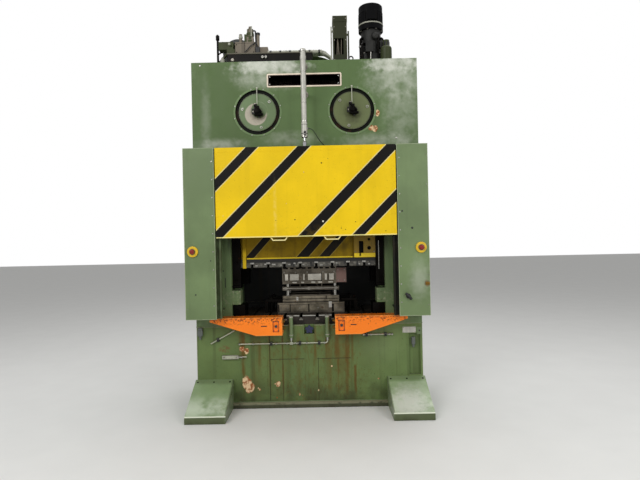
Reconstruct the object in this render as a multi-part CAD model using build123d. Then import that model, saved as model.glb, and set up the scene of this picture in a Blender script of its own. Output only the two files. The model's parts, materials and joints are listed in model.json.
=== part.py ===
from build123d import *
import math
import os

# Straight-side stamping press with two eccentric shafts that run front to back.
# Millimetres. X is to the right, Y to the back, Z up. The origin is on the floor, under the bolster's centre.

# Bolster, the table that carries the tool
bolster_length = 1200
bolster_depth = 600
bolster_thickness = 80
slot_count = 8
slot_margin = 100
slot_neck = 22
slot_neck_depth = 30
slot_foot = 37
slot_foot_height = 16

# Bed, uprights and crown
frame_depth = 680
upright_gap = 75
upright_width = 315
bed_height = 712
crown_bottom = 2200
crown_height = 833
plate = 40
upright_plate = 35
crown_front_plate = 50
crown_top_plate = 30
bed_top_plate = 60
foot_plate = 45
foot_ledge = 40
rib_position = 373
bay_window_width = 160
bay_window_height = 250

# Windows in the uprights for the strip, and the lined tunnel round each
window_depth = 360
window_bottom = 840
window_height = 450
tunnel_wall = 20

# Tie rods through crown, uprights and bed
tie_rod_radius = 35
tie_rod_bore = 38
tie_rod_y = 243
tie_nut_radius = 52
tie_nut_height = 60
tie_nut_recess = 48
tie_rod_end = 8

# Anchor lugs at the bed's corners
lug_width = 240
lug_reach = 240
lug_inset = 150
anchor_hole_radius = 18
anchor_hole_reach = 160

# Small shapes on the bed's front
niche_width = 90
niche_bottom = 634
niche_depth = 35
recess_margin = 20
recess_width = 100
recess_bottom = 262
recess_height = 360
recess_depth = 25
seam_width = 4
seam_depth = 2
seam_height = 412
seam_top = 610

# Slide and its guides
slide_depth = 520
slide_bottom = 1293
slide_height = 657
slide_plate_thickness = 74
slide_plate_depth = 540
stroke = 40
gib_depth = 120
gib_bottom = 1040
gib_foot_height = 26
gib_foot_reach = 10
guide_rib_depth = 340
guide_clearance = 0.05
slide_pocket_wall = 60
slide_floor = 90
slide_roof = 40
stop_bar_width = 31
stop_bar_inset = 33
stop_bar_drop = 80
stop_bar_thickness = 12
switch_box_inset = 1
switch_box_width = 190
switch_box_depth = 34
switch_box_height = 195

# Eccentric shafts
shaft_spacing = 828
shaft_rise = 386
shaft_radius = 100
eccentric_radius = 150
eccentric_width = 220
housing_radius = 200
housing_length = 190
housing_flange = 12
housing_flange_thickness = 3
ring_recess = 15
disc_radius = 165
disc_thickness = 13
disc_gap = 3
disc_bolt_circle = 137
disc_bolt_radius = 9
disc_bolt_head = 6
disc_bolt_angles = (12.5, 139.6, -102.5)
running_gap = 0.05

# Gears behind the crown
gear_module = 12
gear_teeth = 69
pinion_teeth = 16
gear_width = 120
gear_gap = 20
gear_web = 40
gear_rim = 40
gear_hub_radius = 150
tooth_backlash = 0.6
pinion_x = 40

# Connecting rods
big_end_wall = 65
rod_width = 200
shank_width = 150
shank_gap = 45
screw_radius = 50
ball_radius = 70
ball_drop = 88
ball_gap = 6
ball_sideways = 31
keeper_thickness = 25
keeper_radius = 120
keeper_slot_radius = 58

# Rotary unions on the shaft ends
spigot_radius = 12
spigot_length = 32
union_radius = 34
union_length = 34
stay_radius = 3

# Gear housing, flywheel, motor and belts
gearcase_side_clearance = 18
gearcase_clearance = 9
gearcase_depth = 180
gearcase_wall = 12
drive_shaft_radius = 60
drive_boss_radius = 110
drive_boss_length = 74
flywheel_radius = 440
flywheel_width = 140
flywheel_rim = 70
flywheel_web = 40
flywheel_hub_radius = 110
flywheel_gap = 20
belt_count = 5
belt_pitch = 24
belt_width = 14
belt_height = 10
belt_gap = 0.3
pulley_radius = 90
motor_x = -630
motor_axis_height = 194
motor_radius = 140
motor_fin_height = 15
motor_fin_count = 24
motor_front = -20
motor_length = 540
motor_shaft_radius = 24
motor_foot_width = 270
motor_foot_length = 50
motor_foot_height = 20
motor_foot_places = (60, 250)
motor_leg = 24
motor_wall = 12
terminal_box_y = (150, 260)
guard_case_clearance = 22
guard_case_wall = 3
clutch_radius = 150
clutch_thickness = 28

# Sloped covers over the front feet
foot_cover_overhang = 14
foot_cover_reach = 383
foot_cover_height = 250
foot_cover_lip = 59
foot_cover_wall = 5

# Front covers beside the guard
cover_gap = 8
cover_overhang = 27
cover_bottom = 811
cover_reach = 230
cover_sheet = 3
cover_flange = 20
screw_pitch = 150
screw_inset = 18
screw_head_radius = 6
screw_head_height = 3
screw_radius_small = 3

# Sliding front guard
guard_overlap = 77
guard_height = 753
guard_bottom = 1486
guard_thickness = 30
guard_setback = 8
guard_sheet = 3
guard_travel = 560
handle_positions = (-230, 215.5)
handle_width = 150
handle_drop = 31
handle_radius = 5
rail_width = 50
rail_thickness = 30
rail_inset = 5
rail_groove_width = 22
rail_groove_depth = 18
shoe_height = 60
shoe_gap = 0.1
rail_bracket_inset = 60
rail_bracket_thickness = 12
rail_bracket_width = 30

# Guard cylinder
tube_radius = 22
tube_wall = 4
tube_rise = 207
tube_spare = 34
head_radius = 25
head_height = 134
rod_radius = 8
piston_height = 20
piston_gap = 10
clevis_size = 24
bracket_rises = (269, 514)
bracket_height = 30

# Air hose from the cylinder's head to the crown, points chosen by hand
hose_radius = 3
hose_points = [
    (31, -547, 2386),
    (59, -547, 2386),
    (86, -537, 2354),
    (110, -516, 2314),
    (137, -486, 2281),
    (168, -453, 2257),
    (200, -423, 2244),
    (229, -388, 2240),
    (229, -352, 2240),
]

# Name plate, bare
name_plate_width = 656
name_plate_height = 120
name_plate_bottom = 2800
name_plate_thickness = 6
name_plate_rim = 12

# Orange arms with the start buttons
arm_inner = 226
arm_flat_end = 450
arm_inset = 147
arm_rise = 11
arm_height = 154
arm_tip_height = 30
arm_depth = 130
arm_wall = 3
panel_inset = 31
panel_width = 46
panel_drop = 120
panel_height = 86
panel_recess = 12
start_button_radius = 12
start_button_travel = 4

# Emergency stops on the covers
estop_inset = 70
estop_height = 1378
estop_plate_radius = 45
estop_plate_thickness = 15
estop_barrel_radius = 15
estop_barrel_length = 45
estop_knob_radius = 20
estop_knob_thickness = 18
estop_travel = 6
button_stem_radius = 8

# Lift cylinders and pipes on the bed's front
lift_cylinder_x = 158
lift_cylinder_radius = 17.5
lift_cylinder_bottom = 610
pipe_radius = 6
pipe_height = 557
pipe_gap = 6
pipe_left_end = -620
pipe_clamps = (-335, -84, 84)
clamp_size = 18
tee_size = 28
side_pipe_height = 620
side_pipe_ends = (466, 728)
side_pipe_clamps = (500, 666)
slanted_pipe_start = (-863, 565)
slanted_pipe_end = (-653, 678)
slanted_pipe_clamp = (-800, 599)
manifold_left = -766
manifold_length = 142
manifold_bottom = 429
manifold_height = 32
manifold_depth = 20
fitting_length = 70

# Sockets on the bed
socket_width = 31
socket_height = 63
socket_depth = 32
socket_margin = 25
socket_rise = 264
left_socket_width = 39
left_socket_height = 70
left_socket_depth = 28
left_socket_margin = 17
left_socket_bottom = 636

# Star knob in the niche
star_knob_drop = 39
star_knob_radius = 37
star_knob_lobes = 5
star_lobe_radius = 11
star_knob_thickness = 20
star_knob_proud = 8
star_hole_depth = 80

# Bolster clamps
bolster_clamp_reach = 35
bolster_clamp_top = 895
bolster_clamp_depth = 180

# Green pads under the gibs
pad_gap = 18
pad_height = 124
pad_inset = 20

# Tool
die_left = -290
die_right = 320
die_depth = 330
die_base_thickness = 98
die_block_inset = 47
die_block_depth = 300
die_block_height = 58
strip_guide_height = 7
strip_guide_width = 45
stripper_gap = 50
stripper_thickness = 33
stripper_lift = 20
stripper_end_gap = 5
pillar_radius = 14
pillar_x = (-196, 237)
pillar_y = 120
pillar_sink = 40
pillar_clearance = 31
stripper_bolt_x = 100
stripper_bolt_radius = 8
stripper_head_radius = 12
stripper_head_height = 10
upper_die_inset = 20
die_groove_depth = 12
die_groove_drop = 30
die_groove_height = 30
die_notch_count = 4
die_notch_pitch = 100
die_notch_width = 18
die_notch_height = 50
die_notch_rise = 28
side_plate_width = 90
side_plate_proud = 10
shoulder_seat = 54
spring_x = 54
spring_y = 100
spring_radius = 9
spring_wire = 1.75
spring_turns = 7
spring_pocket = 45
spring_end_gap = 0.15

# Rear guard
rear_guard_width = 1400
rear_guard_depth = 25
rear_guard_sheet = 2

# Equipment on the crown's top
tank_inset = 299
tank_right = 78
tank_front = -250
tank_depth = 190
tank_height = 112
tank_lid = 10
tank_lid_overhang = 6
tank_wall = 4
valve_box_inset = 370
valve_box_width = 178
valve_box_height = 108
valve_box_depth = 120
valve_box_feet = 5
valve_foot_radius = 10
valve_radius = 30
valve_height = 130
valve_block_height = 60
valve_inset = 48
valve_cap_radius = 14
valve_cap_height = 30
gauge_inset = 42
gauge_radius = 14
gauge_height = 92
post_radius = 15
post_height = 215
valve_box_setback = 35
switch_gap = 44
switch_width = 70
switch_height = 72
switch_depth = 80
tower_left = 267
tower_width = 128
tower_front = -160
tower_depth = 140
tower_height = 468
tower_wall = 4
tower_cable_radius = 8
tower_opening_margin = 11
tower_opening_bottom = 114
tower_opening_height = 148
pump_inset = 360
pump_base_size = 180
pump_base_height = 147
pump_bell_radius = 92
pump_bell_height = 228
pump_flange_radius = 115
pump_flange_height = 55
pump_motor_radius = 112
pump_motor_height = 180
vessel_inset = 239
vessel_y = -150
vessel_radius = 51
vessel_height = 184
vessel_cap_radius = 30
vessel_cap_height = 51
conduit_radius = 10
conduit_right = 183
conduit_drop_x = 250
conduit_bend = 40
conduit_foot = 80

# Places that follow from the sizes above
upright_inner = bolster_length / 2 + upright_gap
half_width = upright_inner + upright_width
half_depth = frame_depth / 2
tie_rod_x = upright_inner + upright_width / 2
crown_top = crown_bottom + crown_height
bolster_top = bed_height + bolster_thickness
lug_offset_x = half_width - lug_inset
recess_left = half_width - recess_margin - recess_width
slide_width = bolster_length
slide_top = slide_bottom + slide_height
stop_bar_x = stop_bar_inset - slide_width / 2
switch_box_left = slide_width / 2 - switch_box_inset - switch_box_width
slide_plate_bottom = slide_bottom - slide_plate_thickness
eccentric_offset = stroke / 2
shaft_x = shaft_spacing / 2
shaft_height = crown_bottom + shaft_rise
ball_height = slide_top - ball_drop
shank_bottom = slide_top + keeper_thickness + shank_gap
pad_bottom = gib_bottom - pad_gap - pad_height
foot_cover_inner = upright_inner - 1
foot_cover_outer = half_width + foot_cover_overhang
guard_half = upright_inner + guard_overlap
guard_top = guard_bottom + guard_height
rail_centre = guard_half - rail_inset
cover_inner = guard_half + cover_gap
cover_outer = half_width + cover_overhang
cover_top = guard_top
cover_front = -half_depth - cover_reach
guard_front = cover_front + guard_setback
guard_back = guard_front + guard_thickness
cylinder_y = guard_front + guard_thickness / 2
tube_bottom = guard_top + tube_rise
tube_top = tube_bottom + guard_travel + tube_spare
estop_x = cover_outer - estop_inset
arm_top = bolster_top + arm_rise
arm_outer = half_width - arm_inset
arm_front = -half_depth - arm_depth
panel_inner = arm_inner + panel_inset
panel_bottom = arm_top - panel_drop
start_button_x = panel_inner + panel_width / 2
start_button_height = panel_bottom + panel_height / 2
gear_front = half_depth + gear_gap
gear_back = gear_front + gear_width
gear_pitch_radius = gear_module * gear_teeth / 2
pinion_pitch_radius = gear_module * pinion_teeth / 2
pinion_distance = gear_pitch_radius + pinion_pitch_radius
pinion_height = shaft_height + math.sqrt(pinion_distance**2 - (shaft_x - pinion_x) ** 2)
gear_tip_radius = gear_pitch_radius + gear_module
gearcase_half = shaft_x + gear_tip_radius + gearcase_side_clearance + gearcase_wall
gearcase_bottom = shaft_height - gear_tip_radius - gearcase_clearance - gearcase_wall
gearcase_top = pinion_height + pinion_pitch_radius + gear_module + gearcase_clearance + gearcase_wall
gearcase_back = half_depth + gearcase_depth
drive_boss_start = gear_back + 6
drive_boss_end = drive_boss_start + drive_boss_length
flywheel_front = drive_boss_end + flywheel_gap
flywheel_back = flywheel_front + flywheel_width
motor_height = crown_top + motor_axis_height
belt_centre_y = flywheel_front + flywheel_width / 2
die_base_top = bolster_top + die_base_thickness
die_block_left = die_left + die_block_inset
die_block_right = die_right - die_block_inset
die_block_top = die_base_top + die_block_height
stripper_bottom = die_block_top + stripper_gap
stripper_top = stripper_bottom + stripper_thickness
upper_die_bottom = stripper_top + stripper_lift + stripper_end_gap
pillar_height = slide_plate_bottom - stroke - pillar_clearance - die_base_top
pipe_y = -half_depth - pipe_radius - pipe_gap
lift_cylinder_y = -half_depth - lift_cylinder_radius - 4
tank_left = tank_inset - half_width
valve_box_left = valve_box_inset - half_width
pump_x = half_width - pump_inset
vessel_x = half_width - vessel_inset

nodes = {}


def block(x_range, y_range, z_range):
    """Box between two values of x, of y and of z."""
    size = [max(r) - min(r) for r in (x_range, y_range, z_range)]
    middle = [sum(r) / 2 for r in (x_range, y_range, z_range)]
    return Pos(*middle) * Box(*size)


def bar(radius, start, end):
    """Round bar from one point to another."""
    run = Vector(*end) - Vector(*start)
    return extrude(Plane(origin=start, z_dir=run) * Circle(radius), amount=run.length)


def along_y(radius, x, z, y_start, y_end):
    """Round bar along Y."""
    return bar(radius, (x, y_start, z), (x, y_end, z))


def upright_bar(radius, x, y, z_start, z_end):
    """Round bar along Z."""
    return bar(radius, (x, y, z_start), (x, y, z_end))


def side_profile(points, x_start, x_end):
    """Solid whose outline lies in the YZ plane and which runs along X."""
    outline = make_face(Polyline([(x_start, y, z) for y, z in points], close=True))
    return extrude(outline, amount=x_end - x_start, dir=(1, 0, 0))


def front_profile(points, y_start, y_end):
    """Solid whose outline lies in the XZ plane and which runs along Y."""
    outline = make_face(Polyline([(x, y_start, z) for x, z in points], close=True))
    return extrude(outline, amount=y_end - y_start, dir=(0, 1, 0))


def mirrored(shape):
    """The same shape on the press's left."""
    return mirror(shape, about=Plane.YZ)


def both_sides(shape):
    """A shape and its mirror image."""
    return [shape, mirrored(shape)]


def front_and_back(shape):
    """A shape and its copy mirrored front to back."""
    return [shape, mirror(shape, about=Plane.XZ)]


def slot_positions():
    """Middles of the T-slots along X."""
    pitch = (bolster_length - 2 * slot_margin) / (slot_count - 1)
    first = -(bolster_length / 2 - slot_margin)
    return [first + index * pitch for index in range(slot_count)]


def slot_cutters(depth, face_z, inward):
    """T-slots along Y that open at face_z. inward is +1 where the plate lies above its face."""
    cutters = []
    neck_end = face_z + inward * slot_neck_depth
    foot_end = neck_end + inward * slot_foot_height
    for x in slot_positions():
        y_range = (-depth / 2 - 1, depth / 2 + 1)
        cutters.append(block((x - slot_neck / 2, x + slot_neck / 2), y_range, (face_z - inward, neck_end)))
        cutters.append(block((x - slot_foot / 2, x + slot_foot / 2), y_range, (neck_end, foot_end)))
    return cutters


def make_base_plate():
    """Plate under the bed with a ledge at its front and back and an anchor lug at each corner."""
    ledge_y = half_depth + foot_ledge
    base = block((-half_width, half_width), (-ledge_y, ledge_y), (0, foot_plate))
    lug = block(
        (lug_offset_x - lug_width / 2, lug_offset_x + lug_width / 2),
        (-ledge_y - lug_reach, -ledge_y),
        (0, foot_plate),
    )
    lug -= upright_bar(anchor_hole_radius, lug_offset_x, -ledge_y - anchor_hole_reach, -1, foot_plate + 1)
    for side in both_sides(lug):
        base += front_and_back(side)
    return base


def make_bed():
    """Welded bed with bays between its ribs, a niche for the star knob and a socket recess."""
    bed = block((-half_width, half_width), (-half_depth, half_depth), (foot_plate, bed_height))
    wall = plate / 2
    outer_bay = (half_width - plate, bolster_length / 2 + plate)
    side_bay = (bolster_length / 2, rib_position + wall)
    middle_bay = (rib_position - wall, wall)
    cavity_z = (foot_plate + plate, bed_height - bed_top_plate)
    for near, far in (outer_bay, side_bay, middle_bay):
        bay = block((near, far), (-half_depth + plate, half_depth - plate), cavity_z)
        middle = (near + far) / 2
        bay += block(
            (middle - bay_window_width / 2, middle + bay_window_width / 2),
            (half_depth - plate, half_depth + 1),
            (bed_height / 2 - bay_window_height / 2, bed_height / 2 + bay_window_height / 2),
        )
        bed -= both_sides(bay)
    bed -= block(
        (-niche_width / 2, niche_width / 2),
        (-half_depth - 1, -half_depth + niche_depth),
        (niche_bottom, bed_height + 1),
    )
    bed -= block(
        (recess_left, recess_left + recess_width),
        (-half_depth - 1, -half_depth + recess_depth),
        (recess_bottom, recess_bottom + recess_height),
    )
    seam_y = (-half_depth - 1, -half_depth + seam_depth)
    bed -= block(
        (-rib_position - seam_width / 2, -rib_position + seam_width / 2), seam_y, (foot_plate - 1, seam_top)
    )
    flat_seam = block((55, rib_position - seam_width), seam_y, (seam_height, seam_height + seam_width))
    bed -= both_sides(flat_seam)
    knob_z = bed_height - star_knob_drop
    bed -= along_y(button_stem_radius + running_gap, 0, knob_z, -half_depth, -half_depth + star_hole_depth)
    bed -= tie_rod_holes(bed_height - bed_top_plate - 1, bed_height + 1)
    return bed


def tie_rod_places():
    """Middles of the four tie rods."""
    return [(x, y) for x in (-tie_rod_x, tie_rod_x) for y in (-tie_rod_y, tie_rod_y)]


def tie_rod_holes(z_start, z_end):
    """Clearance holes for the tie rods."""
    return [upright_bar(tie_rod_bore, x, y, z_start, z_end) for x, y in tie_rod_places()]


def make_upright():
    """Right upright: a welded tube with a lined window for the strip and a pad under the gib."""
    column = block((upright_inner, half_width), (-half_depth, half_depth), (bed_height, crown_bottom))
    wall = upright_plate
    column -= block(
        (upright_inner + wall, half_width - wall),
        (-half_depth + wall - 10, half_depth - wall + 10),
        (bed_height + wall, crown_bottom - wall),
    )
    half_window = window_depth / 2
    window_top = window_bottom + window_height
    column += block(
        (upright_inner, half_width),
        (-half_window - tunnel_wall, half_window + tunnel_wall),
        (window_bottom - tunnel_wall, window_top + tunnel_wall),
    )
    column -= block(
        (upright_inner - 1, half_width + 1), (-half_window, half_window), (window_bottom, window_top)
    )
    gib_face = slide_width / 2 + guide_clearance
    column += block(
        (gib_face, upright_inner + 1),
        (-half_depth + pad_inset, -half_window - pad_inset),
        (pad_bottom, pad_bottom + pad_height),
    )
    column -= tie_rod_holes(bed_height - 1, crown_bottom + 1)
    return column


def make_crown():
    """Welded crown with four bearing holes, tie-rod posts and openings for the connecting rods."""
    crown = block((-half_width, half_width), (-half_depth, half_depth), (crown_bottom, crown_top))
    inner_y = half_depth - crown_front_plate
    inner_x = half_width - upright_plate
    floor_top = crown_bottom + crown_front_plate
    ceiling = crown_top - crown_top_plate
    crown -= block((-inner_x, inner_x), (-inner_y, inner_y), (floor_top, ceiling))
    post = tie_nut_radius + 20
    for x, y in tie_rod_places():
        crown += block((x - post, x + post), (y - post, y + post), (floor_top, ceiling))
    crown -= tie_rod_holes(crown_bottom - 1, crown_top + 1)
    for x, y in tie_rod_places():
        crown -= upright_bar(tie_nut_radius + 12, x, y, crown_top - tie_nut_recess, crown_top + 1)
    for x in (-shaft_x, shaft_x):
        crown -= along_y(housing_radius, x, shaft_height, -half_depth - 1, half_depth + 1)
        opening = shank_width / 2 + eccentric_offset + 15
        crown -= block(
            (x - opening, x + opening),
            (-shank_width / 2 - 20, shank_width / 2 + 20),
            (crown_bottom - 1, floor_top + 1),
        )
    crown -= along_y(drive_shaft_radius - 10 + running_gap, pinion_x, pinion_height, 0, half_depth + 1)
    end_x, end_y, end_z = hose_points[-1]
    crown += along_y(hose_radius + 4, end_x, end_z, end_y, -half_depth)
    return crown


def make_tie_rods():
    """Four tie rods with a nut at each end: in the crown's recess and under the bed's top plate."""
    pieces = []
    upper_seat = crown_top - tie_nut_recess
    lower_seat = bed_height - bed_top_plate
    for x, y in tie_rod_places():
        low = lower_seat - tie_nut_height - tie_rod_end
        high = upper_seat + tie_nut_height + tie_rod_end
        rod = upright_bar(tie_rod_radius, x, y, low, high)
        pieces.append(rod)
        for bottom in (lower_seat - tie_nut_height, upper_seat):
            nut = extrude(Pos(x, y, bottom) * RegularPolygon(tie_nut_radius, 6), amount=tie_nut_height)
            nut -= upright_bar(tie_rod_radius + running_gap, x, y, bottom - 1, bottom + tie_nut_height + 1)
            pieces.append(nut)
    return pieces


def make_bolster():
    """T-slotted table plate."""
    table = block(
        (-bolster_length / 2, bolster_length / 2),
        (-bolster_depth / 2, bolster_depth / 2),
        (bed_height, bolster_top),
    )
    table -= slot_cutters(bolster_depth, bolster_top, -1)
    return table


def make_bolster_clamps():
    """Blocks that hold the bolster's ends down and stand beside it on the bed."""
    edge = bolster_length / 2
    y_range = (-bolster_depth / 2, -bolster_depth / 2 + bolster_clamp_depth)
    outer = upright_inner - 3
    clamp = block((edge + 2, outer), y_range, (bed_height, bolster_clamp_top))
    clamp += block((edge - bolster_clamp_reach, outer), y_range, (bolster_top, bolster_clamp_top))
    return both_sides(clamp)


def make_gibs():
    """Four guide bars on the uprights, each with a foot that turns outward."""
    face = slide_width / 2 + guide_clearance
    inner_y = guide_rib_depth / 2
    gib = block((face, upright_inner), (-inner_y - gib_depth, -inner_y), (gib_bottom, crown_bottom))
    foot = block(
        (face, upright_inner),
        (-inner_y - gib_depth - gib_foot_reach, -inner_y),
        (gib_bottom, gib_bottom + gib_foot_height),
    )
    foot = fillet(foot.edges().filter_by(Axis.X).group_by(Axis.Y)[0], gib_foot_reach - 1)
    gib += foot
    return [bar_ for side in both_sides(gib) for bar_ in front_and_back(side)]


def make_foot_cover():
    """Right foot cover: bent sheet, sloped towards the front, open below and at the back."""
    back = -half_depth
    front = back - foot_cover_reach
    outer_x = foot_cover_outer
    outer = [(back, 0), (front, 0), (front, foot_cover_lip), (back, foot_cover_height)]
    slope = (foot_cover_height - foot_cover_lip) / foot_cover_reach
    drop = foot_cover_wall * math.sqrt(1 + slope**2)
    inner_front = front + foot_cover_wall
    inner_lip = foot_cover_lip + slope * foot_cover_wall - drop
    inner_back = foot_cover_height - drop
    inner = [(back + 1, -1), (inner_front, -1), (inner_front, inner_lip), (back + 1, inner_back)]
    cover = side_profile(outer, foot_cover_inner, outer_x)
    cover -= side_profile(inner, foot_cover_inner + foot_cover_wall, outer_x - foot_cover_wall)
    cover -= block(
        (foot_cover_inner - 1, outer_x + 1),
        (back - foot_ledge - 0.3, back + 1),
        (-1, foot_plate + 0.3),
    )
    return cover


def make_front_cover():
    """Right front cover: sheet box that is open at the back, with a narrow return beside the guard."""
    outer_x = cover_outer
    z_range = (cover_bottom, cover_top)
    y_range = (cover_front, -half_depth)
    cover = block((cover_inner, outer_x), (cover_front, cover_front + cover_sheet), z_range)
    cover += block((outer_x - cover_sheet, outer_x), y_range, z_range)
    flange_y = (cover_front, cover_front + cover_flange)
    cover += block((cover_inner, cover_inner + cover_sheet), flange_y, z_range)
    lid_inner = rail_centre + rail_width / 2 + 5
    for bottom in (cover_bottom, cover_top - cover_sheet):
        cover += block((lid_inner, outer_x), y_range, (bottom, bottom + cover_sheet))
        cover += block((cover_inner, outer_x), flange_y, (bottom, bottom + cover_sheet))
    cover -= along_y(
        estop_barrel_radius + 0.3, estop_x, estop_height, cover_front - 1, cover_front + cover_sheet + 1
    )
    for x, z in cover_screw_places():
        cover -= along_y(screw_radius_small + 0.1, x, z, cover_front - 1, cover_front + cover_sheet + 1)
    return cover


def cover_screw_places():
    """Middles of the screws along the right cover's inner edge."""
    count = int((cover_top - cover_bottom) // screw_pitch)
    margin = (cover_top - cover_bottom - (count - 1) * screw_pitch) / 2
    x = cover_inner + screw_inset
    return [(x, cover_bottom + margin + index * screw_pitch) for index in range(count)]


def make_panel_screws():
    """Dome-headed screws in both front covers."""
    screws = []
    for x, z in cover_screw_places():
        screw = along_y(screw_head_radius, x, z, cover_front - screw_head_height, cover_front)
        screw = chamfer(screw.edges().group_by(Axis.Y)[0], screw_head_height / 2)
        screw += along_y(screw_radius_small, x, z, cover_front - 0.5, cover_front + 4 * cover_sheet)
        screws += both_sides(screw)
    return screws


def make_guard_rail():
    """Right guard rail: grooved bar on three brackets from the upright."""
    back = guard_back + 2 + rail_thickness
    x_range = (rail_centre - rail_width / 2, rail_centre + rail_width / 2)
    rail = block(x_range, (guard_back + 2, back), (cover_bottom, cover_top))
    rail -= block(
        (rail_centre - rail_groove_width / 2, rail_centre + rail_groove_width / 2),
        (guard_back, guard_back + 2 + rail_groove_depth),
        (cover_bottom - 1, cover_top + 1),
    )
    half = rail_bracket_width / 2
    lowest = cover_bottom + rail_bracket_inset
    highest = cover_top - rail_bracket_inset
    for height in (lowest, (lowest + highest) / 2, highest):
        bracket_z = (height - rail_bracket_thickness / 2, height + rail_bracket_thickness / 2)
        rail += block((rail_centre - half, rail_centre + half), (back, -half_depth), bracket_z)
    return rail


def make_guard_panel():
    """Sliding guard: folded sheet with ribs, four shoes and two bent handles."""
    half = guard_half
    top = guard_top
    panel = block((-half, half), (guard_front, guard_back), (guard_bottom, top))
    panel -= block(
        (-half + guard_sheet, half - guard_sheet),
        (guard_front + guard_sheet, guard_back + 1),
        (guard_bottom + guard_sheet, top - guard_sheet),
    )
    rib = block((half / 3, half / 3 + guard_sheet), (guard_front, guard_back), (guard_bottom, top))
    panel += both_sides(rib)
    edge_strip = block((half - 40, half), (guard_back - guard_sheet, guard_back), (guard_bottom, top))
    panel += both_sides(edge_strip)
    shoe_half = rail_groove_width / 2 - shoe_gap
    for bottom in (guard_bottom + 14, top - shoe_height - 19):
        shoe = block(
            (rail_centre - shoe_half, rail_centre + shoe_half),
            (guard_back - guard_sheet, guard_back + rail_groove_depth),
            (bottom, bottom + shoe_height),
        )
        panel += both_sides(shoe & block((0, half), (-half_depth * 3, 0), (0, crown_top)))
    for x in handle_positions:
        panel += make_handle(x)
    return panel


def make_handle(x):
    """Bent round bar under the guard's lower edge."""
    y = cylinder_y
    top = guard_bottom + guard_sheet
    low = guard_bottom - handle_drop + handle_radius
    outer = handle_width / 2 - handle_radius
    inner = outer - handle_drop * 0.6
    corners = [(x - outer, y, top), (x - inner, y, low), (x + inner, y, low), (x + outer, y, top)]
    path = FilletPolyline(*corners, radius=2 * handle_radius)
    return sweep(Plane(origin=path @ 0, z_dir=path % 0) * Circle(handle_radius), path=path)


def make_guard_cylinder():
    """Slim air cylinder in front of the crown on two brackets, with its head and ports below."""
    x, y = 0, cylinder_y
    inner = tube_radius - tube_wall
    cylinder = upright_bar(tube_radius, x, y, tube_bottom, tube_top)
    cap = upright_bar(tube_radius + 2, x, y, tube_top - 12, tube_top + 12)
    cylinder += fillet(cap.edges().group_by(Axis.Z)[-1], 8)
    cylinder += upright_bar(head_radius, x, y, tube_bottom - head_height, tube_bottom)
    cylinder += bar(8, (x, y, tube_bottom - 60), (hose_points[0][0], y, tube_bottom - 60))
    for rise in bracket_rises:
        bottom = tube_bottom + rise
        cylinder += upright_bar(tube_radius + 3, x, y, bottom, bottom + bracket_height)
        cylinder += block((x - 15, x + 15), (y, -half_depth), (bottom, bottom + bracket_height))
    cylinder -= upright_bar(inner, x, y, tube_bottom, tube_top)
    cylinder -= upright_bar(rod_radius + running_gap, x, y, tube_bottom - head_height - 1, tube_bottom + 1)
    return cylinder


def make_guard_rod():
    """Piston, rod and clevis that carry the guard's top edge."""
    x, y = 0, cylinder_y
    top = guard_top
    piston_top = tube_top - piston_gap
    rod = upright_bar(rod_radius, x, y, top + 10, piston_top)
    rod += upright_bar(tube_radius - tube_wall - running_gap, x, y, piston_top - piston_height, piston_top)
    half = clevis_size / 2
    rod += block((x - half, x + half), (y - half, y + half), (top, top + 1.5 * clevis_size))
    return rod


def hose_radii():
    """One bend radius for each inner point of the hose, as large as its two runs allow."""
    radii = []
    for before, corner, after in zip(hose_points, hose_points[1:], hose_points[2:]):
        run_in = Vector(*corner) - Vector(*before)
        run_out = Vector(*after) - Vector(*corner)
        half_turn = math.radians(run_in.get_angle(run_out) / 2)
        radii.append(0.45 * min(run_in.length, run_out.length) / math.tan(half_turn))
    return radii


def make_guard_hose():
    """Thin air hose that hangs in a short bend."""
    radii = hose_radii()
    print("hose radii", [round(radius) for radius in radii])
    path = FilletPolyline(*hose_points, radius=radii)
    hose = sweep(Plane(origin=path @ 0, z_dir=path % 0) * Circle(hose_radius), path=path)
    section = math.pi * hose_radius**2
    print("hose length", round(path.length), "volume share", hose.volume / (path.length * section))
    return hose


def make_bearing_housings():
    """Flanged housings in the crown's front and back plates, with the ring-shaped recess at the front."""
    housings = []
    for x in (-shaft_x, shaft_x):
        for direction in (-1, 1):
            face = direction * half_depth
            inner_end = direction * (half_depth - housing_length)
            flange = face + direction * housing_flange_thickness
            housing = along_y(housing_radius - running_gap, x, shaft_height, face, inner_end)
            housing += along_y(housing_radius + housing_flange, x, shaft_height, flange, face)
            if direction < 0:
                recess_floor = face + ring_recess
                housing -= along_y(housing_radius - 4, x, shaft_height, flange - 1, recess_floor)
            bore = shaft_radius + running_gap
            housing -= along_y(bore, x, shaft_height, flange + direction, inner_end - direction)
            housings.append(housing)
    return housings


def involute_turn(base_radius, radius):
    """Polar angle through which an involute has run at a radius."""
    roll = math.sqrt(max((radius / base_radius) ** 2 - 1, 0))
    return roll - math.atan(roll)


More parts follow.
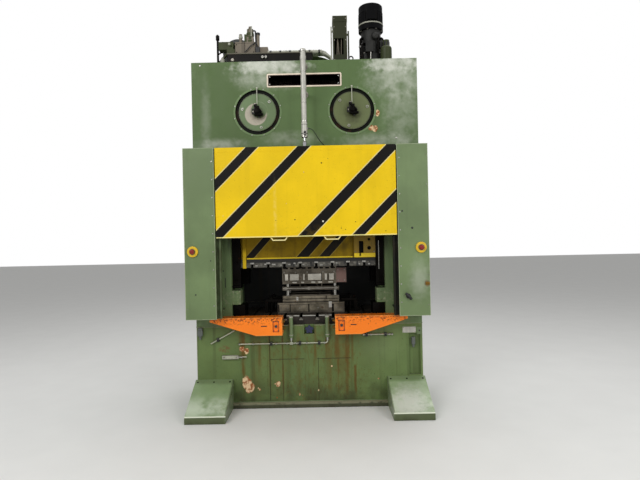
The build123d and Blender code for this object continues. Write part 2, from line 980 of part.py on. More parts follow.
def gear_outline(teeth):
    """Face of a spur gear in its own XY plane, with a tooth on +X. Each flank is one arc on the involute."""
    pitch_radius = gear_module * teeth / 2
    base_radius = pitch_radius * math.cos(math.radians(20))
    tip = pitch_radius + gear_module
    root = pitch_radius - 1.25 * gear_module
    flank_start = max(root, base_radius)
    middle = (flank_start + tip) / 2
    half_tooth = math.pi / (2 * teeth) - tooth_backlash / (4 * pitch_radius)
    turn = half_tooth + involute_turn(base_radius, pitch_radius)

    def at(radius, angle):
        return (radius * math.cos(angle), radius * math.sin(angle))

    def side(radius):
        return turn - involute_turn(base_radius, radius)

    edges = []
    for index in range(teeth):
        centre = 2 * math.pi * index / teeth
        following = 2 * math.pi * (index + 1) / teeth
        root_in = at(root, centre - side(flank_start))
        root_out = at(root, centre + side(flank_start))
        low_in = at(flank_start, centre - side(flank_start))
        low_out = at(flank_start, centre + side(flank_start))
        tip_in = at(tip, centre - side(tip))
        tip_out = at(tip, centre + side(tip))
        if flank_start > root:
            edges += [Line(root_in, low_in), Line(low_out, root_out)]
        edges.append(ThreePointArc(low_in, at(middle, centre - side(middle)), tip_in))
        edges.append(ThreePointArc(tip_in, at(tip, centre), tip_out))
        edges.append(ThreePointArc(tip_out, at(middle, centre + side(middle)), low_out))
        next_root = at(root, following - side(flank_start))
        edges.append(ThreePointArc(root_out, at(root, (centre + following) / 2), next_root))
    return make_face(edges)


def gear_body(teeth, x, z, y_start, turn=0.0):
    """Toothed disc along Y. turn is the angle of its first tooth from +X towards +Z."""
    plane = Plane(origin=(x, y_start, z), x_dir=(math.cos(turn), 0, math.sin(turn)), z_dir=(0, -1, 0))
    return extrude(plane * gear_outline(teeth), amount=-gear_width)


def make_eccentric_shaft(x, bolt_angles):
    """Shaft with front disc, spigot, eccentric and its gear behind the crown."""
    disc_back = -half_depth + ring_recess - disc_gap
    disc_front = disc_back - disc_thickness
    shaft = along_y(shaft_radius, x, shaft_height, disc_back, gear_back)
    shaft += along_y(disc_radius, x, shaft_height, disc_front, disc_back)
    shaft += along_y(spigot_radius, x, shaft_height, disc_front - spigot_length, disc_front)
    shaft += along_y(
        eccentric_radius, x, shaft_height + eccentric_offset, -eccentric_width / 2, eccentric_width / 2
    )
    for angle in bolt_angles:
        bolt_x = x + disc_bolt_circle * math.cos(math.radians(angle))
        bolt_z = shaft_height + disc_bolt_circle * math.sin(math.radians(angle))
        shaft += along_y(disc_bolt_radius, bolt_x, bolt_z, disc_front - disc_bolt_head, disc_front)
    gear = gear_body(gear_teeth, x, shaft_height, gear_front)
    rim_inner = gear_pitch_radius - 1.25 * gear_module - gear_rim
    web_gap = (gear_width - gear_web) / 2
    for start in (gear_front - 1, gear_back - web_gap):
        pocket = along_y(rim_inner, x, shaft_height, start, start + web_gap + 1)
        pocket -= along_y(gear_hub_radius, x, shaft_height, start - 1, start + web_gap + 2)
        gear -= pocket
    return shaft + gear


def make_rotary_unions():
    """Oil unions that stay still on the shaft ends, each with a thin stay up to the housing's rim."""
    unions = []
    disc_front = -half_depth + ring_recess - disc_gap - disc_thickness
    front = disc_front - 1 - union_length
    for x in (-shaft_x, shaft_x):
        union = along_y(union_radius, x, shaft_height, front, disc_front - 1)
        union += block((x - 45, x + 20), (front - 8, front + 14), (shaft_height - 25, shaft_height + 20))
        union += upright_bar(13, x - 16, front + 6, shaft_height, shaft_height + 62)
        union += upright_bar(10, x + 18, front + 6, shaft_height - 55, shaft_height)
        stay_y = front + 10
        rim = shaft_height + housing_radius + housing_flange / 2
        union += upright_bar(stay_radius, x, stay_y, shaft_height + 30, rim)
        flange_face = -half_depth - housing_flange_thickness
        union += block((x - 7, x + 7), (stay_y - 4, flange_face), (rim - 5, rim + 5))
        union -= along_y(
            spigot_radius + running_gap, x, shaft_height, disc_front - spigot_length - 1, disc_front + 1
        )
        unions.append(union)
    return unions


def make_connecting_rod(x):
    """Connecting rod with its big end on the eccentric, and the adjusting screw with its ball."""
    centre = shaft_height + eccentric_offset
    half = rod_width / 2
    shank = shank_width / 2
    bore = eccentric_radius + running_gap
    rod = along_y(bore + big_end_wall, x, centre, -half, half)
    rod += block((x - shank, x + shank), (-shank, shank), (shank_bottom, centre - eccentric_radius - 10))
    rod -= along_y(bore, x, centre, -half - 1, half + 1)
    rod += upright_bar(screw_radius, x, 0, ball_height, shank_bottom)
    rod += Pos(x, 0, ball_height) * Sphere(ball_radius)
    return rod


def slot_prism(x, radius, z_start, z_end):
    """Long hole along X, as the ball's sideways path needs it."""
    reach = ball_sideways
    prism = block((x - reach, x + reach), (-radius, radius), (z_start, z_end))
    prism += upright_bar(radius, x - reach, 0, z_start, z_end)
    prism += upright_bar(radius, x + reach, 0, z_start, z_end)
    return prism


def make_slide():
    """Slide with guide ribs, ball troughs under keeper plates and a stop bar at its front left."""
    half = slide_width / 2
    y_half = slide_depth / 2
    slide = block((-half, half), (-y_half, y_half), (slide_bottom, slide_top))
    rib_y = guide_rib_depth / 2 - guide_clearance
    slide += both_sides(block((half, upright_inner - 10), (-rib_y, rib_y), (slide_bottom + 7, slide_top)))
    pocket_x = shaft_x - ball_radius - ball_gap - ball_sideways - slide_pocket_wall
    pocket_y = y_half - slide_pocket_wall
    pocket_z = (slide_bottom + slide_floor, slide_top - slide_roof)
    slide -= block((-pocket_x, pocket_x), (-pocket_y, pocket_y), pocket_z)
    trough = ball_radius + ball_gap
    for x in (-shaft_x, shaft_x):
        slide += upright_bar(keeper_radius, x, 0, slide_top, slide_top + keeper_thickness)
        slide -= slot_prism(x, trough, ball_height, slide_top)
        slide -= bar(trough, (x - ball_sideways, 0, ball_height), (x + ball_sideways, 0, ball_height))
        for end in (x - ball_sideways, x + ball_sideways):
            slide -= Pos(end, 0, ball_height) * Sphere(trough)
        slide -= slot_prism(x, keeper_slot_radius, slide_top - 1, slide_top + keeper_thickness + 1)
    bar_x = (stop_bar_x - stop_bar_width / 2, stop_bar_x + stop_bar_width / 2)
    plate_front = -slide_plate_depth / 2 - 0.5
    bar_front = plate_front - stop_bar_thickness
    bar_top = slide_bottom + switch_box_height
    slide += block(bar_x, (bar_front, plate_front), (slide_bottom - stop_bar_drop, bar_top))
    slide += block(bar_x, (plate_front, -y_half), (slide_bottom, bar_top))
    return slide


def make_slide_plate():
    """T-slotted plate under the slide."""
    bottom = slide_plate_bottom
    depth = slide_plate_depth
    table = block((-slide_width / 2, slide_width / 2), (-depth / 2, depth / 2), (bottom, slide_bottom))
    table -= slot_cutters(depth, bottom, 1)
    return table


def make_switch_box():
    """Yellow box on the slide's front right with a slot and two round holes."""
    front = -slide_depth / 2 - switch_box_depth
    right = switch_box_left + switch_box_width
    z_low = slide_bottom
    z_high = slide_bottom + switch_box_height
    box = block((switch_box_left, right), (front, -slide_depth / 2), (z_low, z_high))
    slot_x = (switch_box_left + 45, switch_box_left + 85)
    box -= block(slot_x, (front - 1, front + 12), (z_low + 40, z_low + 145))
    for hole_z in (z_low + 83, z_low + 160):
        box -= along_y(12, switch_box_left + 135, hole_z, front - 1, front + 14)
    return box


def make_gearcase():
    """Case behind the crown round the gears, with the drive shaft's bearing boss."""
    half = gearcase_half
    wall = gearcase_wall
    case = block((-half, half), (half_depth, gearcase_back), (gearcase_bottom, gearcase_top))
    case -= block(
        (-half + wall, half - wall),
        (half_depth + wall, gearcase_back - wall),
        (gearcase_bottom + wall, gearcase_top - wall),
    )
    case -= block(
        (-half + wall, half - wall),
        (half_depth - 1, half_depth + wall + 1),
        (crown_bottom + 5, crown_top - 5),
    )
    case += along_y(drive_boss_radius, pinion_x, pinion_height, drive_boss_start, drive_boss_end)
    bore = drive_shaft_radius + running_gap
    case -= along_y(bore, pinion_x, pinion_height, gear_back, drive_boss_end + 1)
    return case


def pinion_turn():
    """Angle of the pinion's first tooth, so that it meshes with the right shaft's gear at rest."""
    direction = math.atan2(pinion_height - shaft_height, pinion_x - shaft_x)
    ratio = gear_teeth / pinion_teeth
    return direction + math.pi + direction * ratio + math.pi / pinion_teeth


def make_drive_shaft():
    """Drive shaft with its pinion between two bearings and the clutch disc at its back."""
    x, z = pinion_x, pinion_height
    neck = drive_shaft_radius - 10
    clutch_front = flywheel_back + 8
    clutch_back = clutch_front + clutch_thickness
    shaft = along_y(neck, x, z, half_depth - crown_front_plate + 2, gear_front)
    shaft += gear_body(pinion_teeth, x, z, gear_front, pinion_turn())
    shaft += along_y(drive_shaft_radius, x, z, gear_back, clutch_back + 12)
    shaft += along_y(clutch_radius, x, z, clutch_front, clutch_back)
    return shaft


def belt_places():
    """Middles of the belts along Y."""
    first = belt_centre_y - (belt_count - 1) * belt_pitch / 2
    return [first + index * belt_pitch for index in range(belt_count)]


def groove_rings(radius, x, z):
    """Ring-shaped cutters for the belt grooves of a wheel."""
    rings = []
    half = belt_width / 2 + belt_gap
    for y in belt_places():
        ring = along_y(radius + 1, x, z, y - half, y + half)
        ring -= along_y(radius - belt_height + 2, x, z, y - half - 1, y + half + 1)
        rings.append(ring)
    return rings


def make_flywheel():
    """Spoked-looking flywheel with a heavy grooved rim, web and hub."""
    x, z = pinion_x, pinion_height
    wheel = along_y(flywheel_radius, x, z, flywheel_front, flywheel_back)
    side = (flywheel_width - flywheel_web) / 2
    for start in (flywheel_front - 1, flywheel_back - side):
        pocket = along_y(flywheel_radius - flywheel_rim, x, z, start, start + side + 1)
        pocket -= along_y(flywheel_hub_radius, x, z, start - 1, start + side + 2)
        wheel -= pocket
    wheel -= groove_rings(flywheel_radius, x, z)
    wheel -= along_y(drive_shaft_radius + running_gap, x, z, flywheel_front - 1, flywheel_back + 1)
    return wheel


def loop_face(y, extra):
    """Outline round flywheel and pulley, both widened by extra, as a face across Y."""
    big = flywheel_radius - belt_height + 2 + extra
    small = pulley_radius - belt_height + 2 + extra
    run_x = motor_x - pinion_x
    run_z = motor_height - pinion_height
    direction = math.atan2(run_z, run_x)
    spread = math.acos((big - small) / math.hypot(run_x, run_z))

    def at_flywheel(angle):
        return (pinion_x + big * math.cos(angle), y, pinion_height + big * math.sin(angle))

    def at_pulley(angle):
        return (motor_x + small * math.cos(angle), y, motor_height + small * math.sin(angle))

    first, last = direction - spread, direction + spread
    outline = [
        Line(at_flywheel(first), at_pulley(first)),
        ThreePointArc(at_pulley(first), at_pulley(direction), at_pulley(last)),
        Line(at_pulley(last), at_flywheel(last)),
        ThreePointArc(at_flywheel(last), at_flywheel(direction + math.pi), at_flywheel(first)),
    ]
    return make_face(outline)


def loop_solid(y_start, y_end, extra):
    """Solid form of the outline round both wheels."""
    return extrude(loop_face(y_start, extra), amount=y_end - y_start, dir=(0, 1, 0))


def make_belts():
    """Five drive belts, each a closed loop in its grooves."""
    belts = []
    half = belt_width / 2
    for y in belt_places():
        loop = loop_solid(y - half, y + half, belt_height + belt_gap)
        loop -= loop_solid(y - half - 1, y + half + 1, belt_gap)
        belts.append(loop)
    return belts


def make_belt_guard():
    """Sheet guard round flywheel and belts, closed at the back, on the gear case's back wall."""
    start = gearcase_back
    end = flywheel_back + clutch_thickness + 40
    outer = loop_solid(start, end, belt_height + guard_case_clearance + guard_case_wall)
    inner = loop_solid(start - 1, end - guard_case_wall, belt_height + guard_case_clearance)
    guard = outer - inner
    vent_pitch = 60
    for index in range(-4, 5):
        z = pinion_height + index * vent_pitch
        guard -= block((pinion_x - 140, pinion_x + 140), (end - 10, end + 1), (z - 8, z + 8))
    return guard


def make_main_motor():
    """Finned motor housing on feet, on the crown's top."""
    x, z = motor_x, motor_height
    back = motor_front + motor_length
    motor = along_y(motor_radius, x, z, motor_front, back)
    for index in range(motor_fin_count):
        fin = block(
            (-2, 2), (motor_front + 60, back - 50), (motor_radius - 4, motor_radius + motor_fin_height)
        )
        motor += Pos(x, 0, z) * Rot(0, index * 360 / motor_fin_count, 0) * fin
    foot_half = motor_foot_width / 2
    leg = motor_leg / 2
    for foot_y in motor_foot_places:
        foot_range = (foot_y, foot_y + motor_foot_length)
        motor += block((x - foot_half, x + foot_half), foot_range, (crown_top, crown_top + motor_foot_height))
        for leg_x in (x - foot_half + 2 * leg, x + foot_half - 2 * leg):
            motor += block((leg_x - leg, leg_x + leg), foot_range, (crown_top, z - motor_radius / 2))
    box_x = (x + motor_radius / 2 - 10, x + motor_radius + 10)
    motor += block(box_x, terminal_box_y, (z + motor_radius / 2, z + motor_radius + 20))
    motor -= along_y(motor_radius - motor_wall, x, z, motor_front + 4, back - motor_wall)
    motor -= along_y(motor_shaft_radius + running_gap, x, z, back - motor_wall - 1, back + 1)
    return motor


def make_motor_rotor():
    """Motor shaft with rotor core, fan disc and the grooved belt pulley."""
    x, z = motor_x, motor_height
    back = motor_front + motor_length
    rotor = along_y(motor_shaft_radius, x, z, motor_front + 10, flywheel_back - 4)
    rotor += along_y(motor_radius - 30, x, z, motor_front + 110, back - 90)
    rotor += along_y(motor_radius - 20, x, z, motor_front + 20, motor_front + 50)
    pulley = along_y(pulley_radius, x, z, flywheel_front + 4, flywheel_back - 4)
    for ring in groove_rings(pulley_radius, x, z):
        pulley -= ring
    return rotor + pulley


def make_arm():
    """Right arm: hollow orange box that narrows outward, with a recess for the start button."""
    front = arm_front
    bottom = arm_top - arm_height
    outline = [
        (arm_inner, bottom),
        (arm_flat_end, bottom),
        (arm_outer, arm_top - arm_tip_height),
        (arm_outer, arm_top),
        (arm_inner, arm_top),
    ]
    arm = front_profile(outline, front, -half_depth)
    wall = arm_wall
    inner = [
        (arm_inner + wall, bottom + wall),
        (arm_flat_end, bottom + wall),
        (arm_outer - wall, arm_top - arm_tip_height + wall),
        (arm_outer - wall, arm_top - wall),
        (arm_inner + wall, arm_top - wall),
    ]
    arm -= front_profile(inner, front + wall, -half_depth + 1)
    x_range = (panel_inner, panel_inner + panel_width)
    z_range = (panel_bottom, panel_bottom + panel_height)
    outer_x = (x_range[0] - wall, x_range[1] + wall)
    outer_z = (z_range[0] - wall, z_range[1] + wall)
    arm += block(outer_x, (front, front + panel_recess + wall), outer_z)
    arm -= block(x_range, (front - 1, front + panel_recess), z_range)
    bore = button_stem_radius + running_gap
    arm -= along_y(bore, start_button_x, start_button_height, front, front + panel_recess + 2 * wall)
    return arm


def make_start_button():
    """Right start button: flat cap with its stem through the recess's floor."""
    floor = arm_front + panel_recess
    x = start_button_x
    cap_back = floor - start_button_travel - 1
    cap = along_y(start_button_radius, x, start_button_height, cap_back - 6, cap_back)
    cap = fillet(cap.edges().group_by(Axis.Y)[0], 2)
    return cap + along_y(button_stem_radius, x, start_button_height, cap_back, floor + 20)


def make_estop_plate():
    """Right emergency stop's yellow disc with the switch barrel behind it."""
    front = cover_front - estop_plate_thickness
    disc = along_y(estop_plate_radius, estop_x, estop_height, front, cover_front)
    disc = fillet(disc.edges().group_by(Axis.Y)[0], 4)
    barrel_end = cover_front + estop_barrel_length
    disc += along_y(estop_barrel_radius, estop_x, estop_height, cover_front, barrel_end)
    bore = button_stem_radius + running_gap
    disc -= along_y(bore, estop_x, estop_height, front - 1, barrel_end - 5)
    return disc


def make_estop_knob():
    """Right emergency stop's mushroom knob and stem."""
    plate_front = cover_front - estop_plate_thickness
    back = plate_front - estop_travel - 1
    knob = along_y(estop_knob_radius, estop_x, estop_height, back - estop_knob_thickness, back)
    knob = fillet(knob.edges().group_by(Axis.Y)[0], 7)
    stem_end = cover_front + estop_barrel_length - 5 - estop_travel - 2
    return knob + along_y(button_stem_radius, estop_x, estop_height, back, stem_end)


def make_lift_cylinders():
    """Two slim lift cylinders on the bed's front, each on a back plate."""
    cylinders = []
    y = lift_cylinder_y
    for x in (-lift_cylinder_x, lift_cylinder_x):
        cylinder = upright_bar(lift_cylinder_radius, x, y, lift_cylinder_bottom, bolster_top)
        cylinder = chamfer(cylinder.edges().group_by(Axis.Z)[-1], 3)
        cylinder += block((x - 12, x + 12), (y, -half_depth), (lift_cylinder_bottom + 15, bed_height - 10))
        cylinders.append(cylinder)
    return cylinders


def make_pipe(points):
    """Steel pipe along straight runs with tight bends."""
    if len(points) == 2:
        return bar(pipe_radius, *points)
    path = FilletPolyline(*points, radius=3 * pipe_radius)
    return sweep(Plane(origin=path @ 0, z_dir=path % 0) * Circle(pipe_radius), path=path)


def pipe_clamp(x, y, z):
    """Block that holds a pipe on the bed."""
    half = clamp_size / 2
    return block((x - half, x + half), (y - half + 1, -half_depth), (z - half, z + half))


def make_front_pipes():
    """Pipes on the bed's front with their clamps: a long one to both lift cylinders, and one at each side."""
    y = pipe_y
    z = pipe_height
    x = lift_cylinder_x
    long_pipe = make_pipe([(pipe_left_end, y, z), (x, y, z), (x, y, lift_cylinder_bottom)])
    long_pipe += bar(pipe_radius, (-x, y, z), (-x, y, lift_cylinder_bottom))
    tee = tee_size / 2
    long_pipe += block((-x - tee, -x + tee), (y - pipe_radius - 4, y + pipe_radius + 4), (z - 10, z + 10))
    for clamp_x in pipe_clamps:
        long_pipe += pipe_clamp(clamp_x, y, z)
    left, right = side_pipe_ends
    right_pipe = make_pipe([(left, y, side_pipe_height), (right, y, side_pipe_height)])
    for clamp_x in side_pipe_clamps:
        right_pipe += pipe_clamp(clamp_x, y, side_pipe_height)
    (start_x, start_z), (end_x, end_z) = slanted_pipe_start, slanted_pipe_end
    left_pipe = make_pipe([(start_x, y, start_z), (end_x, y, end_z)])
    left_pipe += pipe_clamp(slanted_pipe_clamp[0], y, slanted_pipe_clamp[1])
    manifold_right = manifold_left + manifold_length
    manifold_top = manifold_bottom + manifold_height
    manifold_y = (-half_depth - manifold_depth, -half_depth)
    manifold = block((manifold_left, manifold_right), manifold_y, (manifold_bottom, manifold_top))
    middle = manifold_bottom + manifold_height / 2
    manifold += bar(pipe_radius, (manifold_right, y, middle), (manifold_right + fitting_length, y, middle))
    return [long_pipe, right_pipe, left_pipe, manifold]


def make_wall_sockets():
    """Socket in the bed's right recess and socket at its left edge."""
    floor = -half_depth + recess_depth
    x = recess_left + socket_margin
    z = recess_bottom + socket_rise
    right = block((x, x + socket_width), (floor - socket_depth, floor), (z, z + socket_height))
    x = left_socket_margin - half_width
    z = left_socket_bottom
    left_y = (-half_depth - left_socket_depth, -half_depth)
    left = block((x, x + left_socket_width), left_y, (z, z + left_socket_height))
    return [fillet(box.edges().group_by(Axis.Y)[0], 4) for box in (right, left)]


def make_star_knob():
    """Lobed knob on a spindle in the bed's niche."""
    z = bed_height - star_knob_drop
    front = -half_depth - star_knob_proud
    back = front + star_knob_thickness
    knob = along_y(star_knob_radius - star_lobe_radius, 0, z, front, back)
    for index in range(star_knob_lobes):
        angle = math.radians(90 + index * 360 / star_knob_lobes)
        reach = star_knob_radius - star_lobe_radius
        knob += along_y(star_lobe_radius, reach * math.cos(angle), z + reach * math.sin(angle), front, back)
    return knob + along_y(button_stem_radius, 0, z, back, -half_depth + star_hole_depth - 2)


def make_name_plate():
    """Bare plate with a raised rim."""
    half = name_plate_width / 2
    front = -half_depth - name_plate_thickness
    z_range = (name_plate_bottom, name_plate_bottom + name_plate_height)
    sign = block((-half, half), (front, -half_depth), z_range)
    sign = fillet(sign.edges().filter_by(Axis.Y), 14)
    rim = name_plate_rim
    field = block((-half + rim, half - rim), (front - 1, front + 3), (z_range[0] + rim, z_range[1] - rim))
    return sign - fillet(field.edges().filter_by(Axis.Y), 6)


def make_rear_guard():
    """Framed sheet that closes the tool space at the back."""
    half = rear_guard_width / 2
    y_range = (half_depth, half_depth + rear_guard_depth)
    z_range = (cover_bottom, gearcase_bottom - 10)
    guard = block((-half, half), y_range, z_range)
    frame = 30
    guard -= block(
        (-half + frame, half - frame),
        (half_depth - 1, half_depth + rear_guard_depth - rear_guard_sheet),
        (z_range[0] + frame, z_range[1] - frame),
    )
    guard += block((-frame / 2, frame / 2), y_range, z_range)
    return guard


def pillar_places():
    """Middles of the tool's four guide pillars."""
    return [(x, y) for x in pillar_x for y in (-pillar_y, pillar_y)]


def make_die_base():
    """Lower tool plate on the bolster, with pillar bores and clamping notches."""
    base_top = die_base_top
    base = block((die_left, die_right), (-die_depth / 2, die_depth / 2), (bolster_top, base_top))
    for x, y in pillar_places():
        base -= upright_bar(pillar_radius + running_gap, x, y, base_top - pillar_sink, base_top + 1)
    for edge in (die_left, die_right):
        base -= block((edge - 18, edge + 18), (-40, 40), (bolster_top - 1, base_top + 1))
    return base


def make_die_block():
    """Lower die with two strip guides on its top."""
    bottom = die_base_top
    top = die_block_top
    half = die_block_depth / 2
    die = block((die_block_left, die_block_right), (-half, half), (bottom, top))
    for y in (-half + strip_guide_width, half - strip_guide_width):
        die += block(
            (die_block_left + 75, die_block_right - 75),
            (y - strip_guide_width / 2, y + strip_guide_width / 2),
            (top, top + strip_guide_height),
        )
    for x, y in pillar_places():
        die -= upright_bar(pillar_radius + 1, x, y, bottom - 1, top + strip_guide_height + 1)
    return die


def make_pillars():
    """Four guide pillars with rounded tops."""
    bottom = die_base_top - pillar_sink
    pillars = []
    for x, y in pillar_places():
        pillar = upright_bar(pillar_radius, x, y, bottom, bottom + pillar_sink + pillar_height)
        pillars.append(fillet(pillar.edges().group_by(Axis.Z)[-1], 3))
    return pillars


def stripper_bolt_places():
    """Middles of the four shoulder bolts that hang the stripper plate."""
    middle = (die_left + die_right) / 2
    rows = (spring_y - pillar_y, pillar_y - spring_y)
    return [(middle + x, 5 * y) for x in (-stripper_bolt_x, stripper_bolt_x) for y in rows]


def make_stripper():
    """Stripper plate with its four shoulder bolts."""
    half = die_block_depth / 2
    top = stripper_top
    stripper = block((die_block_left, die_block_right), (-half, half), (stripper_bottom, top))
    for x, y in pillar_places():
        stripper -= upright_bar(pillar_radius + running_gap, x, y, stripper_bottom - 1, top + 1)
    seat = upper_die_bottom + shoulder_seat
    for x, y in stripper_bolt_places():
        stripper += upright_bar(stripper_bolt_radius, x, y, top, seat)
        stripper += upright_bar(stripper_head_radius, x, y, seat, seat + stripper_head_height)
    return stripper


def spring_places():
    """Middles of the four springs above the stripper plate."""
    middle = (die_left + die_right) / 2
    return [(middle + x, y) for x in (-spring_x, spring_x) for y in (-spring_y, spring_y)]


def make_die_springs():
    """Four coil springs from the stripper plate up into the upper die's pockets."""
    bottom = stripper_top + spring_wire + spring_end_gap
    top = upper_die_bottom + spring_pocket - spring_wire - spring_end_gap
    coil = Helix(pitch=(top - bottom) / spring_turns, height=top - bottom, radius=spring_radius)
    spring = sweep(Plane(origin=coil @ 0, z_dir=coil % 0) * Circle(spring_wire), path=coil, is_frenet=True)
    return [Pos(x, y, bottom) * spring for x, y in spring_places()]


def die_notch_places():
    """Middles of the upright notches along the upper die's front."""
    middle = (die_left + die_right) / 2
    first = middle - (die_notch_count - 1) * die_notch_pitch / 2
    return [first + index * die_notch_pitch for index in range(die_notch_count)]


def make_upper_die():
    """Upper tool half under the slide plate, with pillar bores, bolt pockets and a side plate."""
    half = die_block_depth / 2
    top = slide_plate_bottom
    right = die_block_right - upper_die_inset
    die = block((die_block_left, right), (-half, half), (upper_die_bottom, top))
    front = (-half - 1, -half + die_groove_depth)
    groove_top = top - die_groove_drop
    die -= block((die_block_left - 1, right + 1), front, (groove_top - die_groove_height, groove_top))
    notch_bottom = upper_die_bottom + die_notch_rise
    for x in die_notch_places():
        die -= block(
            (x - die_notch_width / 2, x + die_notch_width / 2),
            front,
            (notch_bottom, notch_bottom + die_notch_height),
        )
    for x, y in pillar_places():
        die -= upright_bar(pillar_radius + running_gap, x, y, upper_die_bottom - 1, top - 15)
    for x, y in spring_places():
        pocket_radius = spring_radius + spring_wire + 1
        die -= upright_bar(pocket_radius, x, y, upper_die_bottom - 1, upper_die_bottom + spring_pocket)
    seat = upper_die_bottom + shoulder_seat
    for x, y in stripper_bolt_places():
        die -= upright_bar(stripper_bolt_radius + running_gap, x, y, upper_die_bottom - 1, seat)
        die -= upright_bar(stripper_head_radius + 1, x, y, seat, top + 1)
    die += block(
        (right, right + side_plate_width),
        (-half - side_plate_proud, -half + 2 * side_plate_proud),
        (upper_die_bottom + 10, top - 20),
    )
    return die


def make_tank():
    """Oil tank on the crown with a lid that stands proud."""
    y_range = (tank_front, tank_front + tank_depth)
    top = crown_top + tank_height
    edge = tank_lid_overhang
    lid_bottom = top - tank_lid
    tank = block(
        (tank_left + edge, tank_right - edge),
        (y_range[0] + edge, y_range[1] - edge),
        (crown_top, top),
    )
    inner = edge + tank_wall
    tank -= block(
        (tank_left + inner, tank_right - inner),
        (y_range[0] + inner, y_range[1] - inner),
        (crown_top + tank_wall, lid_bottom),
    )
    tank += block((tank_left, tank_right), y_range, (lid_bottom, top))
    tank -= upright_bar(20, tank_right - 60, y_range[1] - 40, top - 20, top + 1)
    return tank


def make_valve_box():
    """Valve box on feet on the tank, with a valve stack, a pressure switch and a post beside it."""
    top = crown_top + tank_height
    right = valve_box_left + valve_box_width
    front = tank_front + valve_box_setback
    y_range = (front, front + valve_box_depth)
    bottom = top + valve_box_feet
    roof = bottom + valve_box_height
    box = block((valve_box_left, right), y_range, (bottom, roof))
    corner = 1.5 * valve_foot_radius
    for x in (valve_box_left + corner, right - corner):
        for y in (front + corner, front + valve_box_depth - corner):
            box += upright_bar(valve_foot_radius, x, y, top, bottom)
    middle_y = sum(y_range) / 2
    valve_x = right - valve_inset
    valve_top = roof + valve_height
    box += upright_bar(valve_radius, valve_x, middle_y, roof, valve_top)
    box += block(
        (valve_x - valve_radius, valve_x + valve_radius),
        (middle_y - valve_radius, middle_y + valve_radius),
        (roof, roof + valve_block_height),
    )
    box += upright_bar(valve_cap_radius, valve_x, middle_y, valve_top, valve_top + valve_cap_height)
    box += upright_bar(gauge_radius, valve_box_left + gauge_inset, middle_y, roof, roof + gauge_height)
    switch_left = right + switch_gap
    switch_y = (middle_y - switch_depth / 2, middle_y + switch_depth / 2)
    switch = block((switch_left, switch_left + switch_width), switch_y, (top, top + switch_height))
    post = upright_bar(post_radius, right + switch_gap / 2, middle_y, top, top + post_height)
    return [box, switch, post]


def make_tower():
    """Sheet tower on the crown, open at its front foot, with a slightly wider head."""
    x_range = (tower_left, tower_left + tower_width)
    y_range = (tower_front, tower_front + tower_depth)
    top = crown_top + tower_height
    wall = tower_wall
    tower = block(x_range, y_range, (crown_top, top))
    tower -= block(
        (x_range[0] + wall, x_range[1] - wall),
        (y_range[0] + wall, y_range[1] - wall),
        (crown_top + wall, top - wall),
    )
    opening_bottom = crown_top + tower_opening_bottom
    tower -= block(
        (x_range[0] + tower_opening_margin, x_range[1] - 3 * tower_opening_margin),
        (y_range[0] - 1, y_range[0] + wall + 1),
        (opening_bottom, opening_bottom + tower_opening_height),
    )
    middle_y = sum(y_range) / 2
    for x in (x_range[0] + tower_width / 3, x_range[0] + tower_width / 2):
        tower += upright_bar(tower_cable_radius, x, middle_y, crown_top + wall, top - wall)
    return tower


def make_pump_unit():
    """Pump block and bell housing on the crown."""
    half = pump_base_size / 2
    top = crown_top + pump_base_height
    unit = block((pump_x - half, pump_x + half), (-half, half), (crown_top, top))
    unit = fillet(unit.edges().filter_by(Axis.Z), 12)
    bell_top = top + pump_bell_height
    unit += upright_bar(pump_bell_radius, pump_x, 0, top, bell_top)
    for side in (-1, 1):
        middle = pump_x + side * pump_bell_radius
        unit -= block((middle - 30, middle + 30), (-35, 35), (top + 50, bell_top - 50))
    unit -= upright_bar(pump_bell_radius - 15, pump_x, 0, top + 20, bell_top - 20)
    return unit


def make_pump_motor():
    """Upright pump motor with its flange below and the fan cowl on top."""
    bottom = crown_top + pump_base_height + pump_bell_height
    flange_top = bottom + pump_flange_height
    motor = upright_bar(pump_flange_radius, pump_x, 0, bottom, flange_top)
    cowl = upright_bar(pump_motor_radius, pump_x, 0, flange_top, flange_top + pump_motor_height)
    motor += fillet(cowl.edges().group_by(Axis.Z)[-1], 12)
    return motor


def make_air_vessel():
    """Dome-topped vessel with a black cap."""
    vessel = upright_bar(vessel_radius, vessel_x, vessel_y, crown_top, crown_top + vessel_height)
    vessel = fillet(vessel.edges().group_by(Axis.Z)[-1], vessel_radius * 0.6)
    cap_top = crown_top + vessel_height + vessel_cap_height
    return vessel + upright_bar(vessel_cap_radius, vessel_x, vessel_y, crown_top + vessel_height - 5, cap_top)


def make_conduit():
    """Three pipes along the tank's top that bend down to the crown."""
    pipes = []
    low = crown_top + tank_height + conduit_radius
    left = valve_box_left + valve_box_width + switch_gap + switch_width
    middle_y = tank_front + valve_box_setback + valve_box_depth / 2
    for row, rise in ((-1, 0), (0, 1), (1, 0)):
        y = middle_y + row * 2.5 * conduit_radius
        z = low + rise * 2.4 * conduit_radius
        points = [
            (left, y, z),
            (conduit_right, y, z),
            (conduit_drop_x, y, crown_top + conduit_foot),
            (conduit_drop_x, y, crown_top),
        ]
        path = FilletPolyline(*points, radius=conduit_bend)
        pipes.append(sweep(Plane(origin=path @ 0, z_dir=path % 0) * Circle(conduit_radius), path=path))
    return pipes


left_bolt_angles = [180 - angle for angle in disc_bolt_angles]

